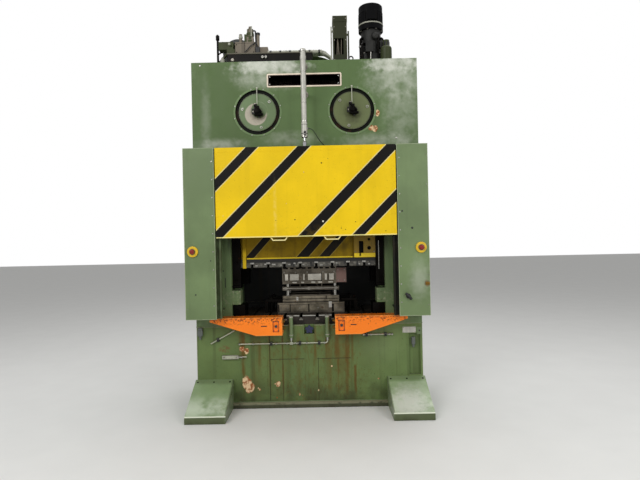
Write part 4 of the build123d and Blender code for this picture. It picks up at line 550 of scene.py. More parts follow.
disc_rim = [(0.55, (0.20, 0.22, 0.13), ring(x, shaft_z, 0.158, 0.17, 0.003)) for x in (-shaft_x, shaft_x)]
crescent = without(
    disc(-shaft_x - 0.015, shaft_z - 0.018, 0.096), disc(-shaft_x + 0.014, shaft_z + 0.020, 0.070, 0.006))
housing_front = band("y", -0.3415, 0.0)
bearing_oil = broken_up(both(housing_front, band("z", 2.35, 2.62, 0.05)), 9, 0.48, 0.6)
for name, colour, gloss, streaks, grime, shine, layers in (
    ("left_disc", (0.37, 0.45, 0.30), 0.46, 0.05, 0.35, 0.35, [
        disc_rim[0], (0.9, (0.70, 0.66, 0.60), crescent),
        (0.45, (0.62, 0.66, 0.55), broken_up(ring(-shaft_x, shaft_z, 0.090, 0.096, 0.002), 20)),
        (0.5, (0.22, 0.22, 0.14), patch(-shaft_x, shaft_z - 0.02, 0.055, 0.055, 0.5))]),
    ("right_disc", (0.35, 0.385, 0.235), 0.46, 0.05, 0.35, 0.35, [
        disc_rim[1], (0.6, (0.20, 0.20, 0.10), patch(shaft_x + 0.01, shaft_z - 0.055, 0.055, 0.05, 0.6)),
        (0.4, (0.28, 0.30, 0.16), patch(shaft_x, shaft_z, 0.09, 0.08, 0.8))]),
    ("housing_ring", (0.42, 0.50, 0.35), 0.46, 0.05, 0.35, 0.08, [
        (0.98, (0.02, 0.018, 0.014), both(housing_front, band("z", 2.3, 2.9))),
        (0.50, (0.24, 0.15, 0.09), bearing_oil)]),
    ("union_black", (0.035, 0.033, 0.030), 0.45, 0.1, 0.1, 0.25, [
        (0.95, (0.72, 0.72, 0.66), both(band("z", 2.650, 2.9), band("y", -0.375, -0.346)))]),
    ("rail_green", (0.33, 0.39, 0.26), 0.45, 0.4, 0.5, 0.2, [
        (0.96, (0.03, 0.03, 0.027), band("x", 0.0, 1.0)),
        (0.5, oil_brown, broken_up(band("z", 0.8, 1.5, 0.1), 12, 0.4, 0.6))]),
    ("rear_green", crown_green, 0.46, 0.3, 0.35, 0.35, [
        (0.6, dust_grey, on_ledges(0.7)), (0.4, sheen_and_dust_white, along_edges("gear_case", 0.006))]),
    ("guard_black", (0.105, 0.11, 0.105), 0.5, 0.4, 0.3, 0.25, [
        (0.5, dust_grey, on_ledges(0.8)), (0.4, (0.30, 0.29, 0.25), along_edges("rear_guard", 0.006))]),
    ("belt_guard_green", (0.40, 0.47, 0.33), 0.42, 0.2, 0.3, 0.35, [(0.6, dust_grey, on_ledges(0.6))]),
    ("valve_beige", (0.42, 0.385, 0.33), 0.5, 0.45, 0.6, 0.35, [(0.6, (0.60, 0.58, 0.53), on_ledges(0.8))]),
    ("tank_black", (0.07, 0.06, 0.05), 0.45, 0.2, 0.2, 0.12, [
        (0.9, (0.52, 0.50, 0.44), on_ledges(0.9)), (0.55, (0.5, 0.48, 0.42), band("z", 3.136, 3.15, 0.002))]),
    ("tower_olive", (0.195, 0.205, 0.14), 0.45, 0.25, 0.3, 0.15, [
        (0.5, (0.42, 0.42, 0.33), along_edges("cable_tower", 0.006))]),
    ("motor_black", (0.035, 0.035, 0.04), 0.52, 0.1, 0.1, 0.06, [(0.5, dust_grey, on_ledges(0.5))]),
    ("motor_grey", (0.20, 0.21, 0.20), 0.45, 0.25, 0.3, 0.35, [(0.6, dust_grey, on_ledges(0.6))]),
):
    paint(name, colour, gloss, streaks, grime, layers, shine=shine)
for name, colour, gloss, streaks, grime, chips, shine in (
    ("plain_green", (0.36, 0.44, 0.28), 0.46, 0.2, 0.5, 0.0, 0.35),
    ("deep_black", (0.02, 0.02, 0.02), 0.5, 0.1, 0.1, 0.0, 0.05),
    ("bright_yellow", (0.88, 0.76, 0.10), 0.40, 0.1, 0.3, 0.2, 0.35),
    # The switch box's yellow is mixed dark like the slide's: painted shade.
    ("box_yellow", (0.50, 0.40, 0.045), 0.42, 0.3, 0.45, 0.3, 0.35),
    ("olive_green", (0.23, 0.255, 0.15), 0.45, 0.4, 0.5, 0.0, 0.2),
    ("pipe_green", (0.41, 0.48, 0.33), 0.36, 0.15, 0.4, 0.0, 0.35),
    ("plate_cream", (0.90, 0.84, 0.76), 0.4, 0.1, 0.3, 0.0, 0.35),
    ("plate_maroon", (0.14, 0.055, 0.055), 0.35, 0.1, 0.2, 0.15, 0.35),
    ("primer_pink", (0.42, 0.32, 0.29), 0.5, 0.2, 0.3, 0.0, 0.35),
):
    paint(name, colour, gloss, streaks, grime, chips=chips, shine=shine)
print(len(finishes), "finishes in all")

# %% [markdown]
# The solids arrive with knife-sharp edges, and nothing real has those: an edge catches light because it is a
# little round. We could bevel each model by hand. Instead one helper copies a solid's mesh, joins its flat
# triangles into whole faces, rounds the sharp edges and lets the copy stand for the solid. The original is never
# touched, so the machine's fits stay as they are. A second helper only gives a solid its finish.


def put(name, data):
    """A new object in the scene."""
    made = bpy.data.objects.new(name, data)
    bpy.context.scene.collection.objects.link(made)
    return made


def apply_modifiers(piece):
    """Bake a piece's modifiers into its mesh."""
    depsgraph = bpy.context.evaluated_depsgraph_get()
    final = bpy.data.meshes.new_from_object(piece.evaluated_get(depsgraph))
    piece.modifiers.clear()
    piece.data = final


def shade(piece, angle=32):
    """Smooth over gentle edges, crisp over sharp ones, and level across the large faces."""
    piece.data.shade_smooth()
    piece.data.set_sharp_from_angle(angle=math.radians(angle))
    flatten = piece.modifiers.new("flat faces", "WEIGHTED_NORMAL")
    flatten.mode = "FACE_AREA"
    flatten.keep_sharp = True
    apply_modifiers(piece)


def round_edges(piece, width):
    """Round every edge sharper than 35 degrees."""
    bevel = piece.modifiers.new("rounding", "BEVEL")
    bevel.width = width
    bevel.segments = 2
    bevel.limit_method = "ANGLE"
    bevel.angle_limit = math.radians(35)
    bevel.use_clamp_overlap = True
    bevel.harden_normals = False
    apply_modifiers(piece)


def dress(name, finish):
    """Give a CAD node its finish."""
    mesh = nodes[name].data
    mesh.materials.clear()
    mesh.materials.append(finishes[finish])


def soften(name, finish, width):
    """Stand a rounded copy in for a CAD node."""
    source = nodes[name]
    piece = put(name + "_rounded", source.data.copy())
    mesh = bmesh.new()
    mesh.from_mesh(piece.data)
    bmesh.ops.remove_doubles(mesh, verts=mesh.verts, dist=1e-6)
    bmesh.ops.dissolve_limit(mesh, angle_limit=math.radians(0.5), verts=mesh.verts, edges=mesh.edges)
    mesh.to_mesh(piece.data)
    mesh.free()
    piece.data.materials.clear()
    piece.data.materials.append(finishes[finish])
    round_edges(piece, width)
    shade(piece)
    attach(piece, source["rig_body"])
    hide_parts(name)


for name, finish, width in (
    ("base_plate", "base_green", 0.004), ("bed", "bed_green", 0.004), ("upright_left", "upright_green", 0.004),
    ("upright_right", "upright_green", 0.004), ("crown", "crown_green", 0.005), ("gear_case", "rear_green", 0.006),
    ("bolster", "table_steel", 0.0012), ("bolster_clamps", "black_steel", 0.002), ("slide", "slide_yellow_in_shade", 0.003),
    ("slide_plate", "slide_plate_oiled", 0.0012), ("foot_covers", "foot_green", 0.0016),
    ("front_cover_left", "cover_green_left", 0.0009), ("front_cover_right", "cover_green_right", 0.0009),
    ("guard_panel", "guard_yellow", 0.0009), ("control_arm_left", "arm_orange_left", 0.0010),
    ("control_arm_right", "arm_orange_right", 0.0010), ("name_plate", "plate_cream", 0.0014),
    ("die_base", "tool_steel", 0.0015), ("die_block", "tool_steel", 0.0015), ("stripper_plate", "tool_steel", 0.001),
    ("oil_tank", "tank_black", 0.0025), ("valve_box", "valve_beige", 0.003), ("cable_tower", "tower_olive", 0.0015),
    ("rear_guard", "guard_black", 0.0015), ("gibs", "black_steel", 0.002), ("switch_box", "box_yellow", 0.0015),
    ("wall_sockets", "grey_plastic", 0.001), ("pump_unit", "cast_grey", 0.003), ("star_knob", "blue_plastic", 0.002),
    ("lift_cylinders", "pipe_green", 0.001), ("upper_die", "tool_steel", 0.0015),
):
    soften(name, finish, width)

for name, finish in (
    ("tie_rods", "black_steel"), ("panel_screws", "bright_steel"), ("guard_rails", "rail_green"),
    ("guard_cylinder", "tube_alloy"), ("guard_rod", "chrome_rod"), ("bearing_housings", "housing_ring"),
    ("eccentric_shaft_right", "worn_steel"), ("eccentric_shaft_left", "worn_steel"), ("rotary_unions", "union_black"),
    ("connecting_rod_right", "cast_grey"), ("connecting_rod_left", "cast_grey"), ("drive_shaft", "worn_steel"),
    ("flywheel", "cast_grey"), ("drive_belts", "black_rubber"), ("belt_guard", "belt_guard_green"),
    ("main_motor", "motor_grey"), ("motor_rotor", "worn_steel"), ("start_button_right", "black_plastic"),
    ("start_button_left", "black_plastic"), ("estop_plates", "yellow_plastic"), ("estop_knob_right", "red_plastic"),
    ("estop_knob_left", "red_plastic"), ("front_pipes", "pipe_zinc"), ("guide_pillars", "bright_steel"),
    ("pump_motor", "motor_black"), ("air_vessel", "olive_green"), ("conduit", "pale_plastic"),
):
    dress(name, finish)

# %% [markdown]
# The air hose from the guard's cylinder is a few listed points with one smooth curve through them. A tube of
# straight runs would look like bent wire, so the curve is a NURBS spline with the points as its control points.

# %% The air hose
hose_radius = 0.003
hose_points = [
    (0.031, -0.547, 2.386), (0.059, -0.547, 2.386), (0.086, -0.537, 2.354), (0.110, -0.516, 2.314),
    (0.137, -0.486, 2.281), (0.168, -0.453, 2.257), (0.200, -0.423, 2.244), (0.229, -0.388, 2.240),
    (0.229, -0.352, 2.240),
]

curve = bpy.data.curves.new("air_hose", "CURVE")
curve.dimensions = "3D"
curve.bevel_depth = hose_radius
curve.bevel_resolution = 4
curve.resolution_u = 10
spline = curve.splines.new("NURBS")
spline.points.add(len(hose_points) - 1)
for point, place in zip(spline.points, hose_points):
    point.co = (*place, 1.0)
spline.order_u = 3
spline.use_endpoint_u = True
air_hose = put("air_hose", curve)
curve.materials.append(finishes["black_rubber"])
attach(air_hose, "frame")
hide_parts("guard_hose")

# %% [markdown]
# Small fittings repeat by the dozen: boxes with broken edges, turned parts, bent pipes, hexagon bolts, socket
# screws, weld beads. Blender's own primitives would need moving, turning and joining each time, so we write a few
# functions that add such a form to a growing mesh. A last function takes a list of forms, each as (function, its
# values), builds one closed mesh of them and gives it finish and body.

# %% Forms in mesh code
def box(mesh, x, y, z):
    """A box between two values of x, of y and of z."""
    corners = [mesh.verts.new((a, b, c)) for a in sorted(x) for b in sorted(y) for c in sorted(z)]
    for face in ((0, 1, 3, 2), (4, 6, 7, 5), (0, 4, 5, 1), (2, 3, 7, 6), (0, 2, 6, 4), (1, 5, 7, 3)):
        mesh.faces.new([corners[i] for i in face])


def slab(mesh, x, z, face, proud, sunk=0.001):
    """A box on a face that looks forward: proud of it in front, sunk behind it."""
    box(mesh, x, (face - proud, face + sunk), z)


def block(mesh, middle, size):
    """A box by its middle and its size."""
    box(mesh, *((m - s / 2, m + s / 2) for m, s in zip(middle, size)))


def join_loops(mesh, loops, sides, closed=False):
    """Skin rows of points; a row may be a single point."""
    rows = [[mesh.verts.new(p) for p in loop] for loop in loops]
    pairs = list(zip(rows, rows[1:])) + ([(rows[-1], rows[0])] if closed else [])
    for first, second in pairs:
        for i in range(sides):
            j = (i + 1) % sides
            corners = [first[i % len(first)], first[j % len(first)], second[j % len(second)], second[i % len(second)]]
            mesh.faces.new(list(dict.fromkeys(corners)))
    if not closed:
        for row in (rows[0], rows[-1]):
            if len(row) > 1:
                mesh.faces.new(row)


def turned(mesh, base, axis, profile, sides=24, closed=False, turn=0.0):
    """A lathe form. profile lists (radius, distance along the axis); closed makes a ring of it."""
    along = Vector(axis).normalized()
    aside = Vector((1, 0, 0)) if abs(along.x) < 0.9 else Vector((0, 0, 1))
    aside = (aside - along * aside.dot(along)).normalized()
    other = along.cross(aside)
    angles = [turn + 2 * math.pi * i / sides for i in range(sides)]
    loops = []
    for radius, distance in profile:
        centre = Vector(base) + along * distance
        row = [centre + (aside * math.cos(a) + other * math.sin(a)) * radius for a in angles]
        loops.append(row if radius else [centre])
    join_loops(mesh, loops, sides, closed)


def plug(mesh, base, axis, sides, wide, start, end, slim, low, high, tip):
    """A turned stub: wide from start to end, slim from low to high, closed at tip."""
    turned(mesh, base, axis, [(wide, start), (wide, end), (slim, low), (slim, high), (0, tip)], sides)


def nut(mesh, base, axis, wide, start, end, slim, tip, sides=6):
    """A turned head: wide from start to end, then a broken edge up to slim at tip."""
    turned(mesh, base, axis, [(wide, start), (wide, end), (slim, tip)], sides)


def collar(mesh, base, axis, inner, outer, height, sides=32):
    """A collar with broken edges."""
    cut = min(height, outer - inner) * 0.2
    turned(mesh, base, axis, [
        (inner, 0), (inner, height), (outer - cut, height), (outer, height - cut), (outer, cut), (outer - cut, 0),
    ], sides, True)


def bolt(mesh, place, axis, size):
    """Hexagon head on a washer; size is the radius to its corners."""
    nut(mesh, place, axis, size * 1.3, -0.001, size * 0.15, size * 1.2, size * 0.2, 20)
    nut(mesh, place, axis, size, size * 0.15, size * 0.72, size * 0.86, size * 0.85)


def screw(mesh, place, axis, size):
    """Socket-head screw with its hollow."""
    height = size * 0.9
    turned(mesh, place, axis, [
        (size, -0.001), (size, height * 0.85), (size * 0.9, height), (size * 0.55, height),
        (size * 0.5, height * 0.4), (0, height * 0.4),
    ], 14)


def dome(mesh, place, axis, size, height):
    """Low round head or rivet."""
    turned(mesh, place, axis, [
        (size, -0.001), (size, height * 0.2), (size * 0.85, height * 0.65), (size * 0.5, height * 0.93), (0, height),
    ], 14)


def bent(points, radius, steps=5):
    """Round a path's corners: each becomes a short curve that starts radius before it."""
    points = [Vector(p) for p in points]
    path = [points[0]]
    for before, corner, after in zip(points, points[1:], points[2:]):
        start = corner + (before - corner).normalized() * radius
        end = corner + (after - corner).normalized() * radius
        path += [start.lerp(corner, i / steps).lerp(corner.lerp(end, i / steps), i / steps) for i in range(steps + 1)]
    return path + [points[-1]]


def tube(mesh, points, radius, sides=12):
    """A round bar along points. radius may be a list with one value for each point."""
    points = [Vector(p) for p in points]
    radii = radius if isinstance(radius, list) else [radius] * len(points)
    runs = [(b - a).normalized() for a, b in zip(points, points[1:])]
    aside = runs[0].orthogonal().normalized()
    angles = [2 * math.pi * i / sides for i in range(sides)]
    loops = []
    for index, (point, size) in enumerate(zip(points, radii)):
        along = (runs[max(index - 1, 0)] + runs[min(index, len(runs) - 1)]).normalized()
        aside = (aside - along * aside.dot(along)).normalized()
        other = along.cross(aside)
        loops.append([point + (aside * math.cos(a) + other * math.sin(a)) * size for a in angles])
    join_loops(mesh, loops, sides)


def bead(mesh, start, end):
    """Rippled weld bead."""
    size = 0.0045
    start, end = Vector(start), Vector(end)
    count = max(int((end - start).length / (size * 1.1)), 3)
    points = [start.lerp(end, i / count) for i in range(count + 1)]
    tube(mesh, points, [size * chance.uniform(0.8, 1.1) for _ in points], 6)


def panel(mesh, x, z, face, depth, rim, sunk):
    """A plate on the front whose field lies lower than its rim."""
    def outline(y, margin):
        return [(x[0] + margin, y, z[0] + margin), (x[1] - margin, y, z[0] + margin),
                (x[1] - margin, y, z[1] - margin), (x[0] + margin, y, z[1] - margin)]
    rows = ((face + depth, 0), (face, 0), (face, rim), (face + sunk, rim * 1.2))
    join_loops(mesh, [outline(y, margin) for y, margin in rows], 4)


def make(name, finish, forms, body="frame", width=0.0):
    """Build a list of forms into one piece with finish and body."""
    mesh = bmesh.new()
    for form, *values in forms:
        form(mesh, *values)
    bmesh.ops.recalc_face_normals(mesh, faces=mesh.faces)
    data = bpy.data.meshes.new(name)
    mesh.to_mesh(data)
    mesh.free()
    piece = put(name, data)
    data.materials.append(finishes[finish])
    if width:
        round_edges(piece, width)
    shade(piece)
    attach(piece, body)
    return piece


def around(centre, radius, turn, sign=1):
    """A point on a circle that faces the front."""
    x, y, z = centre
    return x + sign * radius * math.cos(turn), y, z + radius * math.sin(turn)


def inset(ends, axis, margin):
    """The two ends of a box along an axis, moved inwards."""
    return ends[0][axis] + margin, ends[1][axis] - margin


def outward(sign):
    """The direction away from the middle on the right (1) or left (-1) side."""
    return right if sign > 0 else left


forward, up, right = (0, -1, 0), (0, 0, 1), (1, 0, 0)
backward, down, left = (0, 1, 0), (0, 0, -1), (-1, 0, 0)
both_sides = (("right", 1), ("left", -1))
chance = random.Random(11)
(_, front_plane, _), (side_plane, rear_plane, _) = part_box("bed")
crown_top = 3.033
print("the bed's front lies at", round(front_plane, 3))

# %% [markdown]
# Two round shaft ends look out of the crown. Each is a painted disc with three bolts inside a black oily ring, and
# an oil union hangs in its middle, so that oil reaches the turning shaft. The discs turn, so their skins and bolt
# rings ride on the shafts. The screws of the rim and the union's fittings stay with the frame.

# %% Shaft ends and oil unions
disc_face = front_plane - 0.001
disc_profile = [(0.0135, 0), (0.0135, 0.0008), (0.162, 0.0008), (0.1645, 0)]
bolt_ring = [(0.0075, 0.0005), (0.0075, 0.0072), (0.0112, 0.0072), (0.0130, 0.0055), (0.0130, 0.0005)]
rim_screws, fittings, zinc_nuts = [], [], []
for side, sign in both_sides:
    x = sign * shaft_x
    centre, body = (x, disc_face, shaft_z), "shaft_" + side
    rings, faces = [], []
    for angle in (12.5, 139.6, -102.5):
        place = around(centre, 0.137, math.radians(angle), sign)
        rings.append((turned, place, forward, bolt_ring, 20, True))
        face = (place[0], disc_face - 0.0055, place[2])
        faces.append((turned, face, forward, [(0.0074, 0), (0.0074, 0.0012), (0, 0.0014)], 20))
    make("disc_skin_" + side, side + "_disc", [
        (turned, centre, forward, disc_profile, 96, True)], body)
    make("disc_bolt_rings_" + side, "bright_steel", rings, body)
    make("disc_bolt_faces_" + side, side + "_disc", faces, body)
    rim_screws += [
        (screw, around((x, front_plane - 0.003, shaft_z), 0.206, math.radians(15 + 30 * index)), forward, 0.0048)
        for index in range(12)]
    front = disc_face - 0.035
    fittings += [
        (plug, (x, front, shaft_z), forward, 6, 0.030, -0.002, 0.010, 0.020, 0.014, 0.022, 0.024),
        (plug, (x + 0.016, front, shaft_z - 0.002), right, 6, 0.015, -0.004, 0.012, 0.009, 0.015, 0.028, 0.030),
        (plug, (x + 0.012, front - 0.004, shaft_z - 0.030), right, 8, 0.017, -0.030, 0.026, 0.012, 0.030, 0.042, 0.044),
        (tube, bent([(x - 0.022, front - 0.006, shaft_z + 0.052), (x + 0.004, front - 0.014, shaft_z + 0.030),
                     (x + 0.040, front - 0.010, shaft_z - 0.012)], 0.014), 0.0095),
        (block, (x + 0.004, front - 0.004, shaft_z + 0.030), (0.034, 0.020, 0.030))]
    zinc_nuts += [
        (nut, (x + nut_x, front, shaft_z + nut_z), axis, 0.0125, 0, 0.007, 0.0105, 0.009)
        for nut_x, nut_z, axis in ((-0.016, 0.060, up), (0.034, -0.002, right), (-0.030, -0.004, left))]
rim_screws += [(dome, (x, front_plane, z), forward, 0.009, 0.004) for x, z in ((-0.911, 3.005), (0.797, 2.336))]
make("rim_screws", "bright_steel", rim_screws)
make("union_fittings", "black_steel", fittings, width=0.0006)
make("union_nuts", "worn_steel", zinc_nuts)
print("shaft ends dressed")

# %% [markdown]
# The name plate is bare: a dark field inside a raised cream rim, held by four screws. The guard's cylinder beside
# it is an aluminium tube, so it needs its end caps, clamp bolts and air ports before it reads as a real cylinder.

# %% Name plate and guard cylinder
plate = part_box("name_plate")
plate_back = plate[1][1]
make("name_field", "plate_maroon", [
    (panel, inset(plate, 0, 0.0125), inset(plate, 2, 0.0125), plate_back - 0.0036, 0.0014, 0.004, 0.0006),
], width=0.0004)
make("plate_screws", "bright_steel", [
    (dome, (x, plate_back - 0.0034, z), forward, 0.0055, 0.0028)
    for x, z in product(inset(plate, 0, 0.028), inset(plate, 2, 0.028))])

cylinder_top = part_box("guard_cylinder")[1][2]
tube_y, tube_radius, tube_bottom = -0.547, 0.022, 2.446
make("cylinder_rings", "bright_steel", [
    (collar, (0, tube_y, z), up, tube_radius - 0.001, tube_radius + 0.0045, height) for z, height in (
        (tube_bottom - 0.006, 0.012), (2.6, 0.004), (2.86, 0.004), (cylinder_top - 0.024, 0.010))
] + [(collar, (0, tube_y, tube_bottom - 0.134), up, 0.012, 0.027, 0.016)])
make("cylinder_ports", "black_plastic", [
    (plug, (0.004, tube_y - 0.020, z), forward, 6, 0.011, -0.002, 0.006, 0.008, 0.009, 0.013, 0.015)
    for z in (tube_bottom - 0.093, tube_bottom - 0.118)
] + [
    (collar, (0, tube_y, tube_bottom - 0.106), up, 0.0245, 0.0262, 0.006),
    (collar, (0, tube_y, tube_bottom - 0.030), up, 0.0245, 0.0258, 0.003),
    (turned, (0.020, tube_y, 2.386), right,
     [(0.009, 0), (0.009, 0.009), (0.006, 0.012), (0.006, 0.02), (0.004, 0.022)], 6),
    (plug, (0, tube_y, cylinder_top - 0.004), up, 6, 0.010, -0.002, 0.004, 0.006, 0.004, 0.001, 0.001)])
clamp_bolts = []
for rise in (0.269, 0.514):
    z = tube_bottom + rise + 0.015
    clamp_bolts += [
        (screw, (sign * 0.016 * 0.94, y, z), outward(sign), 0.006)
        for sign, y in product((-1, 1), (tube_y + 0.045, front_plane - 0.03))]
    clamp_bolts.append((nut, (0, front_plane, z), forward, 0.034, -0.001, 0.006, 0.031, 0.008, 24))
make("cylinder_clamp_bolts", "worn_steel", clamp_bolts)
make("guard_clevis_pin", "worn_steel", [
    (turned, (-0.020, tube_y, guard_high[2] + 0.020), right, [(0.005, 0), (0.005, 0.040)], 12),
    (collar, (0, tube_y, guard_high[2] + 0.034), up, 0.0085, 0.0145, 0.010, 6)], "guard")
print("cylinder dressed")

# %% [markdown]
# The guard is folded from one sheet: its bottom edge carries a lip and two welded handles, its sides a row of
# rivets that hold the sliding shoes. The lip and the rivets could be a bump map, but the guard is the first thing
# anyone looks at, so they are solid, and they ride on the guard.

# %% Guard trim
guard_x, guard_front = guard_high[0], guard_low[1]
make("guard_hems", "guard_yellow", [
    (slab, (-guard_x + 0.004, guard_x - 0.004), (z - 0.004, z + 0.004), guard_front, 0.0012)
    for z in (guard_sheet_bottom + 0.004, guard_high[2] - 0.030 - 0.004)], "guard", 0.0005)
make("guard_rivets", "guard_yellow", [
    (dome, (x, guard_front, guard_sheet_bottom + 0.045 + index * 0.132), forward, size, height)
    for x, size, height in (
        (-guard_x + 0.016, 0.0065, 0.0028), (guard_x - 0.016, 0.0065, 0.0028),
        (-0.250, 0.004, 0.0015), (0.250, 0.004, 0.0015))
    for index in range(6)], "guard")
make("handle_feet", "bright_yellow", [
    (collar, (x + end, tube_y, guard_sheet_bottom - 0.004), up, 0.0045, 0.0085, 0.005, 14)
    for x, end in product((-0.230, 0.2155), (-0.070, 0.070))], "guard")
print("guard trimmed")

# %% [markdown]
# The front covers are sheet boxes with screws, a quarter-turn lever and a few plugs where earlier fittings were
# taken off. The emergency stops get the turned collar between plate and knob. All plugs are real low domes.

# %% Front covers and emergency stops
cover_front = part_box("front_cover_right")[0][1]
lever_x, lever_z = 0.833, 0.976
make("cover_lever", "black_plastic", [
    (plug, (lever_x, cover_front, lever_z), forward, 24, 0.020, -0.001, 0.006, 0.015, 0.010, 0.018, 0.020),
    (tube, [(lever_x - 0.024, cover_front - 0.020, lever_z + 0.026), (lever_x, cover_front - 0.022, lever_z),
            (lever_x + 0.024, cover_front - 0.020, lever_z - 0.026)], [0.010, 0.013, 0.010]),
] + [(dome, (x, cover_front, z), forward, size, 0.004) for x, z, size in (
    (0.877, 1.540, 0.009), (0.797, 1.682, 0.007), (-0.930, 1.02, 0.006), (-0.800, 1.30, 0.005))])
make("cover_latch", "bronze", [
    (slab, (0.978, 1.012), (1.066, 1.090), cover_front, 0.006),
    (screw, (0.988, cover_front - 0.006, 1.078), forward, 0.005)], width=0.001)
edge_screws = []
for sign in (-1, 1):
    edge_screws += [
        (dome, (sign * 1.002, cover_front, 0.90 + index * 0.25), forward, 0.0045, 0.002) for index in range(6)]
    edge_screws += [
        (dome, (sign * 1.0165, cover_front + 0.05, 0.88 + index * 0.215), outward(sign), 0.0045, 0.0004)
        for index in range(7)]
make("cover_edge_screws", "worn_steel", edge_screws)

estop_x, estop_z = 0.947, 1.378
for side, sign in both_sides:
    x = sign * estop_x
    make("estop_collar_" + side, "grey_plastic", [
        (collar, (x, cover_front - 0.015, estop_z), forward, 0.0215, 0.0255, 0.003)])
    knob_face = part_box("estop_knob_" + side)[0][1]
    make("estop_cap_" + side, "red_plastic", [
        (collar, (x, knob_face + 0.0006, estop_z), forward, 0.006, 0.0105, 0.0012, 24),
    ] + [
        (block, around((x, knob_face + 0.011, estop_z), 0.0192, 2 * math.pi * index / 8), (0.003, 0.008, 0.003))
        for index in range(8)], "estop_" + side, 0.0004)
print("covers dressed")

# %% [markdown]
# The orange arms hold the two start buttons. Each has a recessed plate with a dark seal round it, an oblong slot,
# and two cable glands on the inner end. The buttons travel, so only their rings ride on them.

# %% Orange arms
arm_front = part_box("control_arm_right")[0][1]
gland = [(0.017, -0.001), (0.017, 0.008), (0.012, 0.010), (0.012, 0.020), (0.008, 0.023), (0, 0.023)]
arm_dark, arm_screws, glands = [], [], []
for side, sign in both_sides:
    arm_dark.append((slab, (sign * 0.356, sign * 0.406), (0.726, 0.7345), arm_front, 0.0006))
    arm_dark += [
        (slab, (sign * start, sign * end), z, arm_front, 0.0015, 0.002) for start, end, z in (
            (0.2535, 0.257, (0.679, 0.773)), (0.303, 0.3065, (0.679, 0.773)),
            (0.2535, 0.3065, (0.679, 0.683)), (0.2535, 0.3065, (0.769, 0.773)))]
    arm_screws += [
        (screw, (sign * x, arm_front + 0.012, z), forward, 0.0035)
        for x, z in product((0.2620, 0.2980), (0.690, 0.762))]
    glands += [(turned, (sign * 0.226, arm_front + 0.035, z), outward(-sign), gland, 6) for z in (0.765, 0.707)]
    button_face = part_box("start_button_" + side)[0][1]
    make("button_ring_" + side, "grey_plastic", [
        (collar, (sign * 0.280, button_face + 0.0008, 0.726), forward, 0.0065, 0.0095, 0.0012, 24)], "start_" + side)
make("arm_seals", "black_rubber", arm_dark, width=0.0004)
make("arm_screws", "worn_steel", arm_screws)
make("arm_glands", "bronze", glands)
print("arms dressed")

# %% [markdown]
# The slide's yellow is painted dark, a painted shade, with oil streaked over it, and a strip of bright yellow runs
# along its lower edge. In the slots of its plate sit the ends of T-bolts. A switch box, in the same painted shade,
# hangs on its right. These pieces ride on the slide, and the oil line beside the gib and the gib's bolts stay with the
# frame.

# %% Slide and gibs
slide_front, plate_front = -0.260, -0.270
slot_x = [-0.5 + index / 7 for index in range(8)]
make("slide_lip", "bright_yellow", [
    (panel, (-0.548, 0.405), (1.2935, 1.3055), slide_front - 0.0025, 0.0035, 0.003, 0.0006),
] + [(dome, (x, slide_front - 0.0019, 1.2995), forward, 0.0028, 0.001) for x in slot_x[1:7]], "slide", 0.0006)
t_bolts, dark_studs = [], []
for x in slot_x:
    middle = (x + chance.uniform(-0.002, 0.002), plate_front + 0.010, 1.257)
    t_bolts.append((block, middle, (0.033, 0.022 + chance.uniform(0, 0.006), 0.013)))
    for end in (-1, 1):
        if chance.random() < 0.75:
            size = chance.uniform(0.012, 0.03)
            middle = (x + end * chance.uniform(0.022, 0.050), plate_front - 0.0015, 1.232 + chance.uniform(0, 0.02))
            t_bolts.append((block, middle, (size, 0.006, chance.uniform(0.006, 0.014))))
    dark_studs += [
        (turned, (x, plate_front + 0.03, 1.245), down, [(0.010, 0), (0.010, 0.040), (0, 0.042)], 12),
        (nut, (x, plate_front + 0.03, 1.2185), down, 0.017, 0, 0.014, 0.014, 0.016)]
make("slide_t_bolts", "bright_steel", t_bolts, "slide", 0.0008)
make("slide_studs", "black_steel", dark_studs, "slide")

switch_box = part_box("switch_box")
switch_left, switch_front = switch_box[0][0], switch_box[0][1]
make("switch_box_inserts", "deep_black", [
    (box, (switch_left + 0.046, switch_left + 0.084), (switch_front + 0.006, switch_front + 0.013), (1.334, 1.437)),
] + [
    (turned, (switch_left + 0.135, switch_front + 0.014, z), forward,
     [(0.0115, 0), (0.0115, 0.008), (0.008, 0.010), (0, 0.010)], 20) for z in (1.376, 1.453)
] + [
    (collar, (switch_left + 0.135, switch_front, 1.376), forward, 0.0105, 0.0165, 0.0025, 24),
    (slab, (switch_left + 0.048, switch_left + 0.060), (1.305, 1.345), switch_front, 0.0032)], "slide")
make("switch_box_foot", "bright_yellow", [
    (panel, inset(switch_box, 0, 0.002), (1.2945, 1.331), switch_front - 0.002, 0.003, 0.004, 0.0005),
], "slide", 0.0006)
make("switch_box_screws", "worn_steel", [
    (screw, (x, switch_front, z), forward, 0.005)
    for x, z in product(inset(switch_box, 0, 0.012), (1.343, 1.477))], "slide")

gib_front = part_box("gibs")[0][1] + 0.010
make("gib_bolts", "black_steel", [
    (screw, (x, gib_front, 1.110 + index * 0.160), forward, 0.011) for x in (-0.637, 0.637) for index in range(7)])
line_profile = [(0.0, 0.0)]
for index in range(14):
    start = index * 0.018
    line_profile += [(0.0055, start + 0.001), (0.0055, start + 0.012), (0.0035, start + 0.013), (0.0035, start + 0.018)]
line_profile.append((0.0, 0.256))
make("gib_oil_line", "bright_steel", [
    (turned, (0.627, gib_front - 0.008, 1.188), up, line_profile, 12)])
make("upright_slot_seal", "black_rubber", [
    (slab, (-0.731, -0.725), (1.053, 1.140), front_plane, 0.0004),
    (turned, (-0.745, front_plane, 1.200), forward, [(0.006, -0.001), (0.006, 0.001), (0, 0.0014)], 12)])
make("pad_bolts", "upright_green", [
    (dome, (sign * 0.640, front_plane + 0.020, z), forward, 0.009, 0.005)
    for sign, z in product((-1, 1), (0.925, 0.995))])
print("slide dressed")

